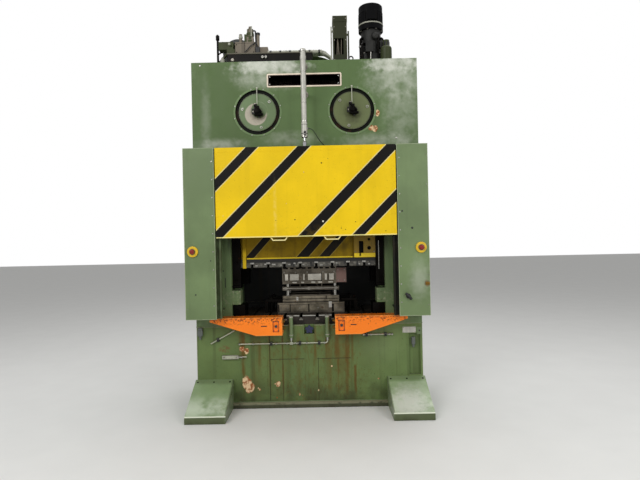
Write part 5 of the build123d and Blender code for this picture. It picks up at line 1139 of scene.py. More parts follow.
# %% [markdown]
# The stamping tool is a stack of ground plates. What the eye catches are bright inserts along the upper half,
# dark slots, collars round the guide pillars and clamps that hold the base to the table. Each insert is a bevelled
# block of its own length, read from the machine, and it rides with the half that it belongs to.

# %% The tool
die_front, side_plate_front = -0.150, -0.1612
make("die_inserts", "insert_steel", [
    (slab, x, (1.090, 1.148), die_front, 0.022) for x in (
        (-0.217, -0.189), (-0.172, -0.092), (-0.052, -0.038), (-0.008, 0.114), (0.145, 0.167), (0.185, 0.228))
] + [
    (slab, x, (1.062, 1.076), die_front, 0.006) for x in (
        (-0.150, -0.110), (-0.070, -0.045), (0.020, 0.060), (0.085, 0.120), (0.180, 0.220))], "slide", 0.0055)
make("die_dark_slots", "deep_black", [
    (slab, (x, x + 0.034), (1.193, 1.207), die_front, 0.0022) for x in (-0.225 + index * 0.054 for index in range(9))
] + [
    (slab, (-0.232 + index * 0.115, -0.225 + index * 0.115), (1.080, 1.155), die_front, 0.002)
    for index in range(4)], "slide", 0.0006)
make("die_side_plate_face", "primer_pink", [
    (panel, (0.2515, 0.3415), (1.067, 1.198), side_plate_front, 0.0020, 0.005, 0.0005)], "slide", 0.0006)
make("upper_die_screws", "worn_steel", [
    (screw, (x, die_front, 1.163), forward, 0.008) for x in (-0.225, -0.120, -0.015, 0.130, 0.232)
] + [
    (screw, (x, side_plate_front, z), forward, 0.006) for z, x in product((1.085, 1.180), (0.268, 0.325))], "slide")

stripper_low, stripper_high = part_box("stripper_plate")
bar_ends = inset((stripper_low, stripper_high), 0, 0.006)
make("stripper_bar", "worn_steel", [
    (tube, [(x, die_front - 0.001, 1.0145) for x in bar_ends], 0.0115, 16),
] + [
    (slab, (x - 0.012, x + 0.012), (1.001, 1.028), die_front, 0.013)
    for x in (stripper_low[0] + 0.030, 0.0, stripper_high[0] - 0.030)], "stripper", 0.001)
pillars = list(product((-0.196, 0.237), (-0.120, 0.120)))
make("stripper_collars", "bronze", [
    (collar, (x, y, stripper_high[2] - 0.0005), up, 0.0142, 0.023, 0.0045) for x, y in pillars], "stripper")
make("pillar_collars", "bright_steel", [
    form for x, y in pillars for form in (
        (collar, (x, y, 0.8895), up, 0.0142, 0.0152, 0.062, 24), (collar, (x, y, 0.9480), up, 0.0142, 0.0235, 0.0065))])

spring_low, spring_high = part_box("die_springs")
spring_x, apart_x, apart_y = 0.015, 0.054, 0.100
wire, turns, steps = 0.0021, 8, 14
coil_radius = spring_high[0] - spring_x - apart_x - wire


def coil(x, y):
    """The middle line of one spring."""
    rise = spring_high[2] - spring_low[2] - 2 * wire
    for index in range(turns * steps + 1):
        angle = 2 * math.pi * index / steps
        yield (x + coil_radius * math.cos(angle), y + coil_radius * math.sin(angle),
               spring_low[2] + wire + rise * index / (turns * steps))


coils = make("die_spring_coils", "worn_steel", [
    (tube, list(coil(x, y)), wire, 8)
    for x, y in product((spring_x - apart_x, spring_x + apart_x), (-apart_y, apart_y))], "slide")
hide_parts("die_springs")
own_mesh(coils)

# %% [markdown]
# The lower half is a stack of plates as well. Thin plates and dark gaps on its front say where one plate ends and
# the next begins, which costs far less than modelling each plate through. Straps with studs hold it to the table.

# %% The tool's lower half
(_, block_front, _), (_, _, block_top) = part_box("die_block")
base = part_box("die_base")
base_front, base_top = base[0][1], base[1][2]
table = 0.792
stack = [
    (slab, x, z, face, proud) for face, rows in (
        (block_front, (
            ((-0.235, -0.105), (0.925, 0.944), 0.004), ((-0.100, 0.050), (0.925, 0.944), 0.006),
            ((0.055, 0.150), (0.925, 0.944), 0.003), ((0.160, 0.262), (0.920, 0.944), 0.005),
            ((-0.240, -0.020), (0.898, 0.915), 0.003), ((-0.015, 0.265), (0.898, 0.914), 0.004))),
        (base_front, (
            ((-0.275, -0.180), (0.812, 0.870), 0.004), ((-0.172, -0.010), (0.806, 0.862), 0.006),
            ((0.000, 0.165), (0.812, 0.868), 0.004), ((0.225, 0.305), (0.806, 0.865), 0.005),
            ((-0.285, 0.315), (0.873, 0.886), 0.002))),
        (block_front, (((-0.235, -0.040), (0.945, 0.9475), 0.002), ((0.020, 0.255), (0.945, 0.9475), 0.002))),
    ) for x, z, proud in rows]
make("die_front_plates", "stack_steel", stack, width=0.0015)
make("die_dark_gaps", "deep_black", [
    (slab, x, z, face, 0.0016) for x, z, face in (
        ((-0.104, -0.100), (0.918, 0.945), block_front), ((0.151, 0.159), (0.915, 0.945), block_front),
        ((-0.240, 0.268), (0.9155, 0.9190), block_front), ((-0.180, -0.172), (0.800, 0.872), base_front),
        ((-0.010, 0.000), (0.800, 0.872), base_front), ((0.206, 0.222), (0.800, 0.872), base_front),
        ((-0.285, 0.315), (0.8865, 0.8895), base_front), ((-0.285, -0.275), (0.800, 0.870), base_front))
] + [(slab, (x, x + 0.022), (0.9505, 0.9545), die_front, 0.0035) for x in (-0.185, 0.070, 0.205)], width=0.0004)
make("die_stop_block", "bright_steel", [
    (slab, (0.177, 0.206), (0.838, 0.893), base_front, 0.016),
    (slab, (-0.118, -0.100), (0.905, 0.938), block_front, 0.012)], width=0.002)
make("die_base_screws", "worn_steel", [
    (screw, (x, base_front - 0.004, 0.838), forward, 0.0075) for x in (-0.260, -0.200, -0.090, 0.080, 0.245, 0.290)
] + [(screw, (x, y, block_top - 0.007), up, 0.008) for x, y in product((-0.21, 0.10, 0.24), (-0.06, 0.06))])
straps, strap_nuts = [], []
for y in (-0.105, 0.105):
    for edge, sign in ((base[0][0], -1), (base[1][0], 1)):
        straps += [
            (box, (edge - sign * 0.030, edge + sign * 0.120), (y - 0.022, y + 0.022), (base_top, base_top + 0.024)),
            (box, (edge + sign * 0.090, edge + sign * 0.122), (y - 0.024, y + 0.024), (table, base_top))]
        stud = edge + sign * 0.060
        strap_nuts += [
            (turned, (stud, y, table), up,
             [(0.009, 0), (0.009, base_top - table + 0.052), (0, base_top - table + 0.054)], 14),
            (turned, (stud, y, base_top + 0.024), up,
             [(0.020, 0), (0.020, 0.004), (0.016, 0.005), (0.016, 0.020), (0.013, 0.022)], 6)]
make("tool_straps", "black_steel", straps, width=0.003)
make("strap_nuts", "black_steel", strap_nuts)
print("tool dressed")

# %% [markdown]
# The table's front edge is the brightest line of the whole press, because every sheet and every hand slides over
# it. It is broken where the T-slots come out. Bright bits show below it where T-nuts sit in the slots.

# %% Table edge and clamps
(_, table_front, _), (_, _, table_top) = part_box("bolster")
table_half = 0.6
stops = [-table_half] + slot_x + [table_half]
edge_strip, t_nuts, clamp_nuts = [], [], []
for first, last in zip(stops, stops[1:]):
    start = first + (0.013 if first > -table_half else 0.003) + chance.uniform(0, 0.004)
    end = last - (0.013 if last < table_half else 0.003) - chance.uniform(0, 0.004)
    edge_strip.append((slab, (start, end), (table_top - 0.008, table_top + 0.0008), table_front, 0.0012, 0.008))
for x in slot_x:
    t_nuts.append((block, (x + chance.uniform(-0.001, 0.001), table_front + 0.011, 0.754), (0.034, 0.022, 0.012)))
    if chance.random() < 0.6:
        t_nuts.append((block, (x, table_front + 0.006, 0.7655), (0.018, 0.014, 0.010)))
for sign in (-1, 1):
    clamp_nuts += [(bolt, (sign * 0.625, y, 0.895), up, 0.016) for y in (-0.255, -0.165)]
    clamp_nuts.append((screw, (sign * 0.635, -0.300, 0.850), forward, 0.010))
make("table_edge", "bright_steel", edge_strip, width=0.0007)
make("table_t_nuts", "worn_steel", t_nuts, width=0.001)
make("clamp_nuts", "black_steel", clamp_nuts)
print("table dressed")

# %% [markdown]
# On the bed's front run thin oil pipes. A pipe never just ends: it has a compression nut, and a clamp has a screw.
# The lift cylinders get a pale cap and a fitting at the foot. The left socket gets a lid, and both get a gland that
# points down.

# %% Pipes, cylinders and sockets on the bed
pipe_y, cylinder_y = front_plane - 0.012, front_plane - 0.0215
lift_x = (-0.158, 0.158)
pipe_nut = [(0.0075, 0), (0.0105, 0.002), (0.0105, 0.014), (0.0075, 0.016)]
lift_nut = [(0.010, 0), (0.0125, 0.003), (0.0125, 0.026), (0.009, 0.030)]
long_nut = [(0.013, 0), (0.013, 0.018), (0.009, 0.020), (0.009, 0.040), (0.013, 0.042), (0.013, 0.052), (0, 0.054)]
nut_rows = ((0.557, (-0.62, -0.50, -0.30, -0.205, -0.118, -0.03, 0.125)), (0.620, (0.466, 0.53, 0.69, 0.715)))
make("pipe_nuts", "bright_steel", [
    (turned, (x, pipe_y, z), right, pipe_nut, 6) for z, row in nut_rows for x in row
] + [
    (turned, (x, pipe_y, 0.578), up, lift_nut, 6) for x in lift_x
] + [(turned, (-0.640, pipe_y, 0.445), right, long_nut, 6)])
clips = ((-0.335, 0.557), (-0.084, 0.557), (0.084, 0.557), (0.500, 0.620), (0.666, 0.620), (-0.800, 0.599))
make("pipe_clips", "black_plastic", [
    (slab, (x - 0.011, x + 0.011), (z - 0.016, z + 0.016), front_plane, 0.022) for x, z in clips], width=0.002)
make("clip_screws", "worn_steel", [
    (screw, (x, front_plane - 0.022, z + 0.010), forward, 0.0035) for x, z in clips])
make("manifold_edges", "worn_steel", [
    (slab, (-0.765, -0.625), (z - 0.0015, z + 0.0015), front_plane, 0.0215, -0.018) for z in (0.4605, 0.4295)
] + [(screw, (x, front_plane - 0.020, 0.445), forward, 0.006) for x in (-0.750, -0.640)], width=0.0004)
make("lift_cylinder_caps", "pale_plastic", [form for x in lift_x for form in (
    (turned, (x, cylinder_y, table_top - 0.010), up,
     [(0.0178, 0), (0.0178, 0.0085), (0.0155, 0.0110), (0, 0.0115)], 24),
    (collar, (x, cylinder_y, 0.628), up, 0.0172, 0.0190, 0.006))])

socket_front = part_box("wall_sockets")[0][1]
make("socket_lids", "grey_plastic", [
    (slab, (-0.9765, -0.9305), (0.640, 0.684), socket_front, 0.004, 0.002),
    (plug, (-0.9535, socket_front + 0.012, 0.640), down, 16, 0.014, 0, 0.010, 0.010, 0.014, 0.034, 0.036),
    (plug, (0.9105, socket_front + 0.036, 0.530), down, 16, 0.013, 0, 0.014, 0.010, 0.016, 0.030, 0.031)], width=0.0015)
make("bare_grey_plate", "tube_alloy", [
    (panel, (0.817, 0.933), (0.628, 0.679), front_plane - 0.0022, 0.003, 0.004, 0.0007)], width=0.0004)
make("corner_plate", "pipe_green", [
    (panel, (0.942, 0.986), (0.612, 0.676), front_plane - 0.003, 0.004, 0.004, 0.0008)], width=0.0008)
make("plate_dots", "black_plastic", [
    (dome, (0.964, front_plane - 0.003, 0.645), forward, 0.007, 0.002),
] + [(dome, (x, front_plane - 0.0015, z), forward, 0.003, 0.001) for x, z in product((0.823, 0.927), (0.634, 0.673))])
slope = math.atan2(0.250 - 0.059, 0.383)
screw_z, screw_axis = 0.250 - 0.030 * math.tan(slope), (0, -math.sin(slope), math.cos(slope))
make("foot_cover_screws", "black_steel", [
    (dome, (sign * x, front_plane - 0.030, screw_z), screw_axis, 0.008, 0.003)
    for sign, x in product((-1, 1), (0.700, 0.840, 0.980))])
print("bed dressed")

# %% [markdown]
# The crown's roof is crowded: a valve box on the oil tank, a filter with its bowl, two ribbed conduits, an upright
# pump with its motor, and a cable tower. Seen from the floor only outlines show, so outlines matter more than
# surface here. Ribbed conduit is a lathe profile that repeats, and pipes are bent tubes.

# %% Power pack on the crown
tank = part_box("oil_tank")
tank_front, tank_top = tank[0][1], tank[1][2]
box_left, box_front = -0.620, -0.215
box_right, box_back = box_left + 0.178, box_front + 0.120
middle = (box_front + box_back) / 2
roof = tank_top + 0.005 + 0.108
make("valve_box_seams", "black_steel", [
    (slab, (-0.537, -0.534), (tank_top + 0.010, roof - 0.004), box_front, 0.0008),
    (slab, (box_left, box_right), (roof - 0.012, roof - 0.010), box_front, 0.0008),
] + [
    (dome, (x, box_front, z), forward, 0.005, 0.002)
    for x, z in product((box_left + 0.012, box_right - 0.012), (tank_top + 0.020, roof - 0.024))])
flange_y, flange_top = (box_front - 0.020, box_back + 0.010), tank_top + 0.008
make("valve_box_flange", "valve_beige", [
    (box, (box_left - 0.012, box_right + 0.050), flange_y, (tank_top - 0.001, flange_top)),
] + [
    (bolt, (x, box_front - 0.008, flange_top), up, 0.006) for x in (box_left + 0.010, box_right + 0.040)], width=0.0015)
valve_x, post_x = box_right - 0.048, box_right + 0.022
make("valve_stack", "olive_green", [
    (turned, (valve_x, middle, z), up,
     [(radius, 0), (radius, height), (radius - 0.004, height + 0.003)], 8, False, 0.39)
    for z, radius, height in (
        (roof, 0.036, 0.030), (roof + 0.036, 0.033, 0.034), (roof + 0.076, 0.036, 0.024), (roof + 0.104, 0.031, 0.030))
] + [
    (box, (valve_x - 0.052, valve_x - 0.024), (middle - 0.025, middle + 0.025), (roof + 0.010, roof + 0.085)),
    (box, (box_left - 0.030, box_left + 0.150), (middle + 0.01, middle + 0.05), (roof - 0.004, roof + 0.014)),
], width=0.0015)
wiring = (
    (0.007, (
        (valve_x + 0.030, middle, roof + 0.125), (valve_x + 0.048, middle - 0.01, roof + 0.120),
        (valve_x + 0.052, middle - 0.01, roof + 0.02), (valve_x + 0.060, middle - 0.02, roof - 0.02))),
    (0.0045, (
        (valve_x + 0.056, box_front - 0.012, roof - 0.010), (valve_x + 0.010, box_front - 0.014, roof - 0.045),
        (valve_x - 0.040, box_front - 0.012, tank_top + 0.016))),
)
make("valve_wiring_pipes", "black_plastic", [
    (tube, bent(path, 0.012), radius) for radius, path in wiring
] + [
    (box, (box_right + 0.002, box_right + 0.040), (box_front + 0.01, box_back - 0.01),
     (tank_top + 0.006, tank_top + 0.070)),
    (collar, (post_x, middle, tank_top + 0.070), up, 0.0148, 0.021, 0.016),
    (collar, (post_x, middle, tank_top + 0.196), up, 0.0148, 0.020, 0.019)])
make("valve_pale_bits", "pale_plastic", [
    (tube, [(valve_x + 0.016, middle - 0.036, roof + 0.150), (valve_x + 0.014, middle - 0.036, roof + 0.060)], 0.006),
    (turned, (box_left + 0.042, middle, roof + 0.050), up,
     [(0.010, 0), (0.017, 0.006), (0.019, 0.018), (0.015, 0.030), (0.006, 0.036), (0, 0.036)], 16)])
gland_end = [(0.013, -0.001), (0.013, 0.010), (0.010, 0.014), (0.006, 0.014), (0.006, 0.008), (0, 0.008)]
make("tank_unions", "bright_steel", [
    (turned, (x, tank_front + 0.006, tank_top - 0.040), forward, gland_end, 18) for x in (-0.372, -0.342)])

bowl_x, pole_x = -0.742, -0.790
bowl_profile = [(0.020, 0), (0.026, 0.008), (0.026, 0.070), (0.020, 0.084), (0.013, 0.088), (0.013, 0.10), (0, 0.101)]
make("filter_head", "olive_green", [
    (box, (-0.775, -0.640), (middle - 0.045, middle + 0.045), (roof - 0.060, roof + 0.012)),
    (box, (-0.700, -0.625), (middle - 0.050, middle + 0.030), (tank_top + 0.002, roof - 0.058)),
    (tube, bent([(-0.660, middle, roof - 0.05), (-0.700, middle - 0.02, roof - 0.09),
                 (bowl_x, middle - 0.02, crown_top + 0.09)], 0.02), 0.010)], width=0.004)
make("filter_bowl", "pale_plastic", [
    (turned, (bowl_x, middle - 0.02, crown_top - 0.001), up, bowl_profile, 24),
    (turned, (-0.672, middle - 0.06, roof - 0.020), forward,
     [(0.011, -0.002), (0.011, 0.014), (0.006, 0.018), (0, 0.018)], 16)])
make("breather_pole", "black_steel", [
    (tube, [(pole_x, middle, crown_top - 0.001), (pole_x, middle, 3.345)], 0.010),
    (turned, (pole_x, middle, 3.300), up, [(0.010, 0), (0.017, 0.004), (0.017, 0.040), (0.008, 0.052), (0, 0.053)], 14),
    (turned, (pole_x, middle, crown_top), up, [(0.030, -0.001), (0.030, 0.012), (0.016, 0.018), (0.016, 0.060)], 20),
] + [
    (tube, bent([(pole_x, middle, z), (-0.770, middle, z + 0.01), (-0.745, middle, z + 0.045)], 0.01), 0.006)
    for z in (3.10, 3.17, 3.24)])

rib_profile = []
for index in range(22):
    start = index * 0.0225
    rib_profile += [(0.0148, start), (0.0165, start + 0.004), (0.0165, start + 0.015), (0.0148, start + 0.019)]
conduit_rows = [(middle - 0.012 + row * 0.030, tank_top + 0.018) for row in (-1, 1)]
make("ribbed_conduit", "pale_plastic", [
    (turned, (-0.328, y, z), right, rib_profile, 16) for y, z in conduit_rows])
make("conduit_joints", "black_plastic", [
    (collar, (-0.310 + index * 0.088, y, z), right, 0.0140, 0.0182, 0.016, 20)
    for y, z in conduit_rows for index in range(6)])
make("tank_bolts", "worn_steel", [
    (bolt, (tank[0][0] + 0.030 + index * 0.088, tank_front + 0.022, tank_top), up, 0.007) for index in range(9)
] + [
    (turned, (x, tank_front + 0.006, tank_top - 0.06), forward,
     [(0.018, -0.001), (0.018, 0.006), (0.014, 0.010), (0, 0.010)], 6)
    for x in (tank[0][0] + 0.05, tank[1][0] - 0.08)])
make("tank_filler_cap", "black_plastic", [
    (turned, (tank[1][0] - 0.060, -0.100, tank_top), up,
     [(0.028, -0.001), (0.028, 0.012), (0.034, 0.014), (0.034, 0.034), (0.030, 0.040), (0, 0.042)], 24)])
print("power pack dressed")

# %% [markdown]
# The tower is a sheet duct with cables at its foot, and a pole and a post stand beside it. The pump below the
# black motor is a bundle of dark pipes between bell and crown. Four lifting eyes finish the roof.

# %% Tower, pump and lifting eyes
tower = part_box("cable_tower")
(tower_left, tower_front, tower_foot), (tower_right, _, tower_top) = tower
make("tower_trim", "tower_olive", [
    (box, inset(tower, 0, -0.003), inset(tower, 1, -0.003), (tower_top - 0.055, tower_top)),
    (box, inset(tower, 0, -0.020), inset(tower, 1, -0.020), (tower_foot, tower_foot + 0.008)),
    (slab, (tower_left + 0.006, tower_right - 0.028), (tower_foot + 0.262, tower_foot + 0.268), tower_front, 0.002),
], width=0.0015)
make("tower_wires", "valve_beige", [
    (tube, [(x, tower_front + 0.030, tower_foot + 0.10), (x + lean, tower_front + 0.028, tower_foot + 0.27)], 0.0045)
    for x, lean in ((0.300, 0.010), (0.322, -0.012), (0.340, 0.006))])
for name, finish, slot, x, y, top, radius, clip, near, far, heights in (
    ("tower_pole", "pale_plastic", "pale_aluminium", tower_left - 0.016, 0.02, 3.410, 0.006,
     (tower_left - 0.018, tower_left + 0.001), 0.012, 0.028, (3.09, 3.36)),
    ("tower_side_post", "olive_green", "frame_green", tower_right + 0.014, 0.03, 3.37, 0.007,
     (tower_right - 0.001, tower_right + 0.016), 0.022, 0.038, (3.08, 3.33)),
):
    make(name, finish, [(tube, [(x, tower_front + y, z) for z in (crown_top - 0.001, top)], radius)] + [
        (box, clip, (tower_front + near, tower_front + far), (z, z + 0.014)) for z in heights])
make("tower_screws", "worn_steel", [
    (dome, (x, tower_front - sunk, z), forward, 0.005, 0.0025) for x in inset(tower, 0, 0.012)
    for z, sunk in ((3.10, 0), (3.28, 0), (3.40, 0), (3.475, 0.003))])

pump_low, pump_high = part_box("pump_motor")
pump_x, flange_z, pump_top = (pump_low[0] + pump_high[0]) / 2, pump_low[2], pump_high[2]
rib_turns = [2 * math.pi * index / 24 for index in range(24)]
bolt_turns = [2 * math.pi * (index + 0.5) / 8 for index in range(8)]
make("pump_motor_rim", "pale_plastic", [
    (collar, (pump_x, 0, flange_z + 0.049), up, 0.1115, 0.1175, 0.012, 48)])
make("pump_motor_ribs", "motor_black", [
    (collar, (pump_x, 0, pump_top - 0.075), up, 0.1115, 0.1150, 0.006, 48),
] + [
    (block, (pump_x + 0.1125 * math.cos(turn), 0.1125 * math.sin(turn), flange_z + 0.105), (0.006, 0.006, 0.080))
    for turn in rib_turns
] + [
    (collar, (pump_x, 0, pump_top - 0.003), up, radius - 0.002, radius + 0.002, 0.003, 32)
    for radius in (0.030, 0.055, 0.080)
] + [(box, (pump_x - 0.045, pump_x + 0.045), (-0.140, -0.100), (flange_z + 0.070, flange_z + 0.150))], width=0.001)
make("pump_bolts", "worn_steel", [
    (bolt, (pump_x + 0.102 * math.cos(turn), 0.102 * math.sin(turn), flange_z), down, 0.008) for turn in bolt_turns
] + [
    (nut, (x, y, crown_top + 0.147), up, 0.012, -0.001, 0.010, 0.009, 0.012)
    for x, y in product((pump_x - 0.075, pump_x + 0.075), (-0.075, 0.075))])
make("pump_pipes", "black_steel", [
    (tube, bent([(pump_x + x, y, crown_top + low - 0.021), (pump_x + x, y, crown_top + high),
                 (pump_x + x * 0.55, y * 0.55, crown_top + high)], 0.03), radius)
    for x, y, low, high, radius in (
        (-0.105, -0.060, 0.02, 0.300, 0.012), (-0.092, -0.095, 0.02, 0.240, 0.012),
        (0.100, -0.080, 0.02, 0.290, 0.012), (0.112, -0.030, 0.02, 0.230, 0.011),
        (0.055, -0.110, 0.10, 0.330, 0.010), (-0.040, -0.112, 0.02, 0.200, 0.009))])
make("pump_valves", "cast_grey", [
    (turned, (pump_x + 0.030, -0.085, crown_top + 0.300), forward,
     [(0.020, -0.01), (0.032, 0.004), (0.036, 0.020), (0.028, 0.036), (0.012, 0.044), (0, 0.045)], 24),
    (box, (pump_x - 0.060, pump_x + 0.005), (-0.125, -0.070), (crown_top + 0.150, crown_top + 0.245)),
    (plug, (pump_x + 0.085, -0.090, crown_top + 0.19), up, 6, 0.024, 0, 0.055, 0.014, 0.060, 0.075, 0.076),
], width=0.002)
make("pump_strut_nuts", "bright_steel", [
    (tube, [(pump_x - 0.020, -0.118, crown_top + 0.02), (pump_x - 0.012, -0.112, crown_top + 0.235)], 0.006),
] + [
    (nut, (pump_x + x, y, crown_top + z), up, 0.016, 0, 0.014, 0.0125, 0.016)
    for (x, y), z in product(((-0.105, -0.060), (0.100, -0.080)), (0.05, 0.21))])
vessel_low, vessel_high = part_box("air_vessel")
vessel_x, vessel_y = (vessel_low[0] + vessel_high[0]) / 2, (vessel_low[1] + vessel_high[1]) / 2
make("vessel_cap", "black_plastic", [
    (turned, (vessel_x, vessel_y, vessel_high[2] - 0.052), up,
     [(0.032, 0), (0.034, 0.006), (0.034, 0.036), (0.026, 0.050), (0.026, 0.052), (0, 0.0525)], 6),
    (collar, (vessel_x, vessel_y, crown_top), up, 0.0505, 0.058, 0.012, 32)], width=0.001)

eyes = []
eye_turns = [2 * math.pi * index / 20 - math.pi / 2 for index in range(21)]
for x, y, size in ((-0.93, 0.0, 1.0), (0.93, 0.06, 1.0), (-0.20, 0.10, 1.0), (0.42, -0.27, 0.6)):
    foot = [
        (0.030 * size, -0.001), (0.030 * size, 0.008), (0.018 * size, 0.012), (0.014 * size, 0.026 * size + 0.002)]
    loop = [
        (x + 0.030 * size * math.cos(turn), y, crown_top + (0.055 + 0.030 * math.sin(turn)) * size)
        for turn in eye_turns]
    eyes += [(turned, (x, y, crown_top), up, foot, 20), (tube, loop, 0.009 * size, 10)]
make("lifting_eyes", "black_steel", eyes)
make("tie_rod_washers", "worn_steel", [
    (collar, (x, y, crown_top - 0.0485), up, 0.0535, 0.0635, 0.006, 36)
    for x, y in product((-0.8325, 0.8325), (-0.243, 0.243))])
print("roof dressed")

# %% [markdown]
# The sides and the back were out of sight, but a press is seen from all around, so they are finished as such
# machines are built. The window for the strip has a frame bolted round it, the welds between bed, upright and
# crown show as beads, an access plate covers the hollow column, and thin oil pipes run up each side in clips.

# %% Sides
window_low, window_high, window_half, rim = 0.840, 1.290, 0.180, 0.045
outer, rim_middle = window_half + rim, 0.0225
cup = [(0.058, -0.001), (0.058, 0.014), (0.052, 0.018), (0.036, 0.018), (0.033, 0.004), (0, 0.004)]
frames, side_bolts, access, beads, side_pipes, side_clips = [], [], [], [], [], []


def beside(sign, distance):
    """A value of x at a distance outside one side's plane."""
    return sign * (side_plane + distance)


for sign, pipe_rows in ((-1, (0.262, 0.280)), (1, (0.270,))):
    direction, plane = outward(sign), sign * side_plane
    face = (beside(sign, -0.001), beside(sign, 0.010))
    frames += [
        (box, face, y, (window_low - rim, window_high + rim)) for y in ((-outer, -window_half), (window_half, outer))]
    frames += [
        (box, face, (-window_half, window_half), z)
        for z in ((window_low - rim, window_low), (window_high, window_high + rim))]
    places = [
        (y, window_low - rim_middle + index * (window_high - window_low + rim) / 5)
        for index in range(6) for y in (-window_half - rim_middle, window_half + rim_middle)]
    places += product((-0.108, 0.0, 0.108), (window_low - rim_middle, window_high + rim_middle))
    side_bolts += [(bolt, (beside(sign, 0.010), y, z), direction, 0.009) for y, z in places]
    side_bolts += [
        (screw, (beside(sign, 0.005), y, z), direction, 0.007)
        for y, z in product((-0.180, 0.0, 0.180), (1.500, 1.760, 2.020))]
    access.append((box, (beside(sign, -0.001), beside(sign, 0.005)), (-0.200, 0.200), (1.480, 2.040)))
    access += [(turned, (plane, y, 2.62), direction, cup, 36) for y in (-0.16, 0.16)]
    for z in (0.712, 2.200):
        beads += [
            (bead, (plane, front_plane, z), (plane, rear_plane, z)),
            (bead, (beside(sign, -0.31), rear_plane, z), (plane, rear_plane, z))]
    beads.append((bead, (plane, front_plane, 0.045), (plane, rear_plane, 0.045)))
    for y in pipe_rows:
        ends, x = beside(sign, -0.002), beside(sign, 0.009)
        path = [(ends, y, 0.62), (x, y, 0.62), (x, y, 2.90), (ends, y, 2.90)]
        side_pipes.append((tube, bent(path, 0.006), 0.0045))
    side_clips += [
        (box, (beside(sign, -0.001), beside(sign, 0.016)), (pipe_rows[0] - 0.012, pipe_rows[-1] + 0.012),
         (z, z + 0.018))
        for z in (0.75, 1.25, 1.75, 2.25, 2.75)]
beads += [(bead, (-side_plane, y, 0.045), (side_plane, y, 0.045)) for y in (front_plane, rear_plane)]
make("window_frames", "upright_green", frames, width=0.0015)
make("side_bolts", "worn_steel", side_bolts)
make("access_plates", "rear_green", access, width=0.0012)
make("weld_beads", "plain_green", beads)
make("side_oil_pipes", "worn_steel", side_pipes)
make("side_pipe_clips", "black_plastic", side_clips, width=0.001)
print("sides dressed")

# %% [markdown]
# At the back the gear case is closed by a bolted cover with two screwed doors, an oil level glass and a drain plug.
# The belt guard has fixing lugs and nine low bars across its back.

# %% Gear case and belt guard
(_, _, case_foot), (case_half, _, case_top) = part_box("gear_case")
case_back = 0.520
case_low, case_high = case_foot + 0.060, case_top - 0.060
places = [
    (-case_half + 0.035 + index * (2 * case_half - 0.07) / 12, z)
    for index in range(13) for z in (case_foot + 0.030, case_top - 0.030)]
places += [
    (x, case_foot + 0.030 + index * (case_top - case_foot - 0.06) / 6)
    for index in range(1, 6) for x in (-case_half + 0.035, case_half - 0.035)]
make("gear_case_bolts", "black_steel", [(bolt, (x, case_back, z), backward, 0.010) for x, z in places])
doors = (((-0.800, -0.620), (2.22, 2.40)), ((0.560, 0.800), (2.22, 2.46)))
case_ends = (-case_half, case_half)
make("gear_case_rim", "rear_green", [
    (box, x, (case_back - 0.001, case_back + 0.002), z) for x, z in (
        (case_ends, (case_foot + 0.001, case_low)), (case_ends, (case_high, case_top - 0.001)),
        ((-case_half, -case_half + 0.07), (case_low, case_high)),
        ((case_half - 0.07, case_half), (case_low, case_high)))
] + [(box, x, (case_back - 0.001, case_back + 0.012), z) for x, z in doors], width=0.0015)
make("gear_case_fittings", "worn_steel", [
    (screw, (x, case_back + 0.012, z), backward, 0.007)
    for (x0, x1), (z0, z1) in doors for x, z in product((x0 + 0.016, x1 - 0.016), (z0 + 0.016, z1 - 0.016))
] + [
    (plug, (0.450, case_back, 2.200), backward, 6, 0.024, -0.001, 0.006, 0.017, 0.008, 0.024, 0.025),
    (collar, (0.20, case_back, 2.235), backward, 0.020, 0.032, 0.012, 28)])
make("oil_level_glass", "sight_glass", [
    (turned, (0.20, case_back, 2.235), backward, [(0.021, -0.001), (0.021, 0.006), (0, 0.008)], 28)])

pinion_x, pinion_z = 0.040, 2.9327
belt_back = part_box("belt_guard")[1][1]
lugs, lug_bolts = [], []
for angle in (-150, -95, -40, 10):
    turn = math.radians(angle)
    place = around((pinion_x, case_back + 0.004, pinion_z), 0.478, turn)
    if place[2] < case_top - 0.03:
        lugs.append((block, place, (0.050, 0.010, 0.050)))
        lug_bolts.append((bolt, around((place[0], case_back + 0.009, place[2]), 0.008, turn), backward, 0.009))
for index in range(9):
    z = pinion_z - 0.24 + index * 0.060
    lugs.append((box, (pinion_x - 0.142, pinion_x + 0.142), (belt_back - 0.0015, belt_back), (z + 0.010, z + 0.016)))
make("belt_guard_lugs", "belt_guard_green", lugs, width=0.0012)
make("belt_guard_bolts", "worn_steel", lug_bolts)
print("gear case and belt guard dressed")

# %% [markdown]
# The motor's fan grille is rings and spokes of thin bar, and its terminal box gets a lid and two glands. The rear
# guard is a sheet with screws, two handles and louvres, which are low bars here. Two dark seals close the gaps
# above and below it.

# %% Motor, rear guard and anchors
(_, motor_front, _), (_, motor_rear, _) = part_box("main_motor")
motor_x, motor_z = -0.630, 3.227
hub = (motor_x, motor_front - 0.002, motor_z)
make("motor_grille", "black_steel", [
    (collar, (motor_x, motor_front + 0.002, motor_z), forward, radius - 0.002, radius + 0.002, 0.006, 40)
    for radius in (0.030, 0.055, 0.080, 0.105)
] + [
    (tube, [around(hub, radius, math.pi * index / 4) for radius in (0.012, 0.112)], 0.0022, 8) for index in range(8)
] + [
    (collar, (motor_x, motor_front + 0.050, motor_z), backward, 0.1395, 0.144, 0.008, 48),
    (collar, (motor_x, motor_rear - 0.014, motor_z), backward, 0.026, 0.060, 0.014, 32)])
make("motor_terminal_lid", "motor_grey", [
    (box, (-0.573, -0.477), (0.146, 0.264), (3.386, 3.394)),
] + [
    (plug, (-0.480, y, 3.330), right, 6, 0.016, -0.001, 0.010, 0.011, 0.012, 0.026, 0.027) for y in (0.175, 0.235)
], width=0.0015)
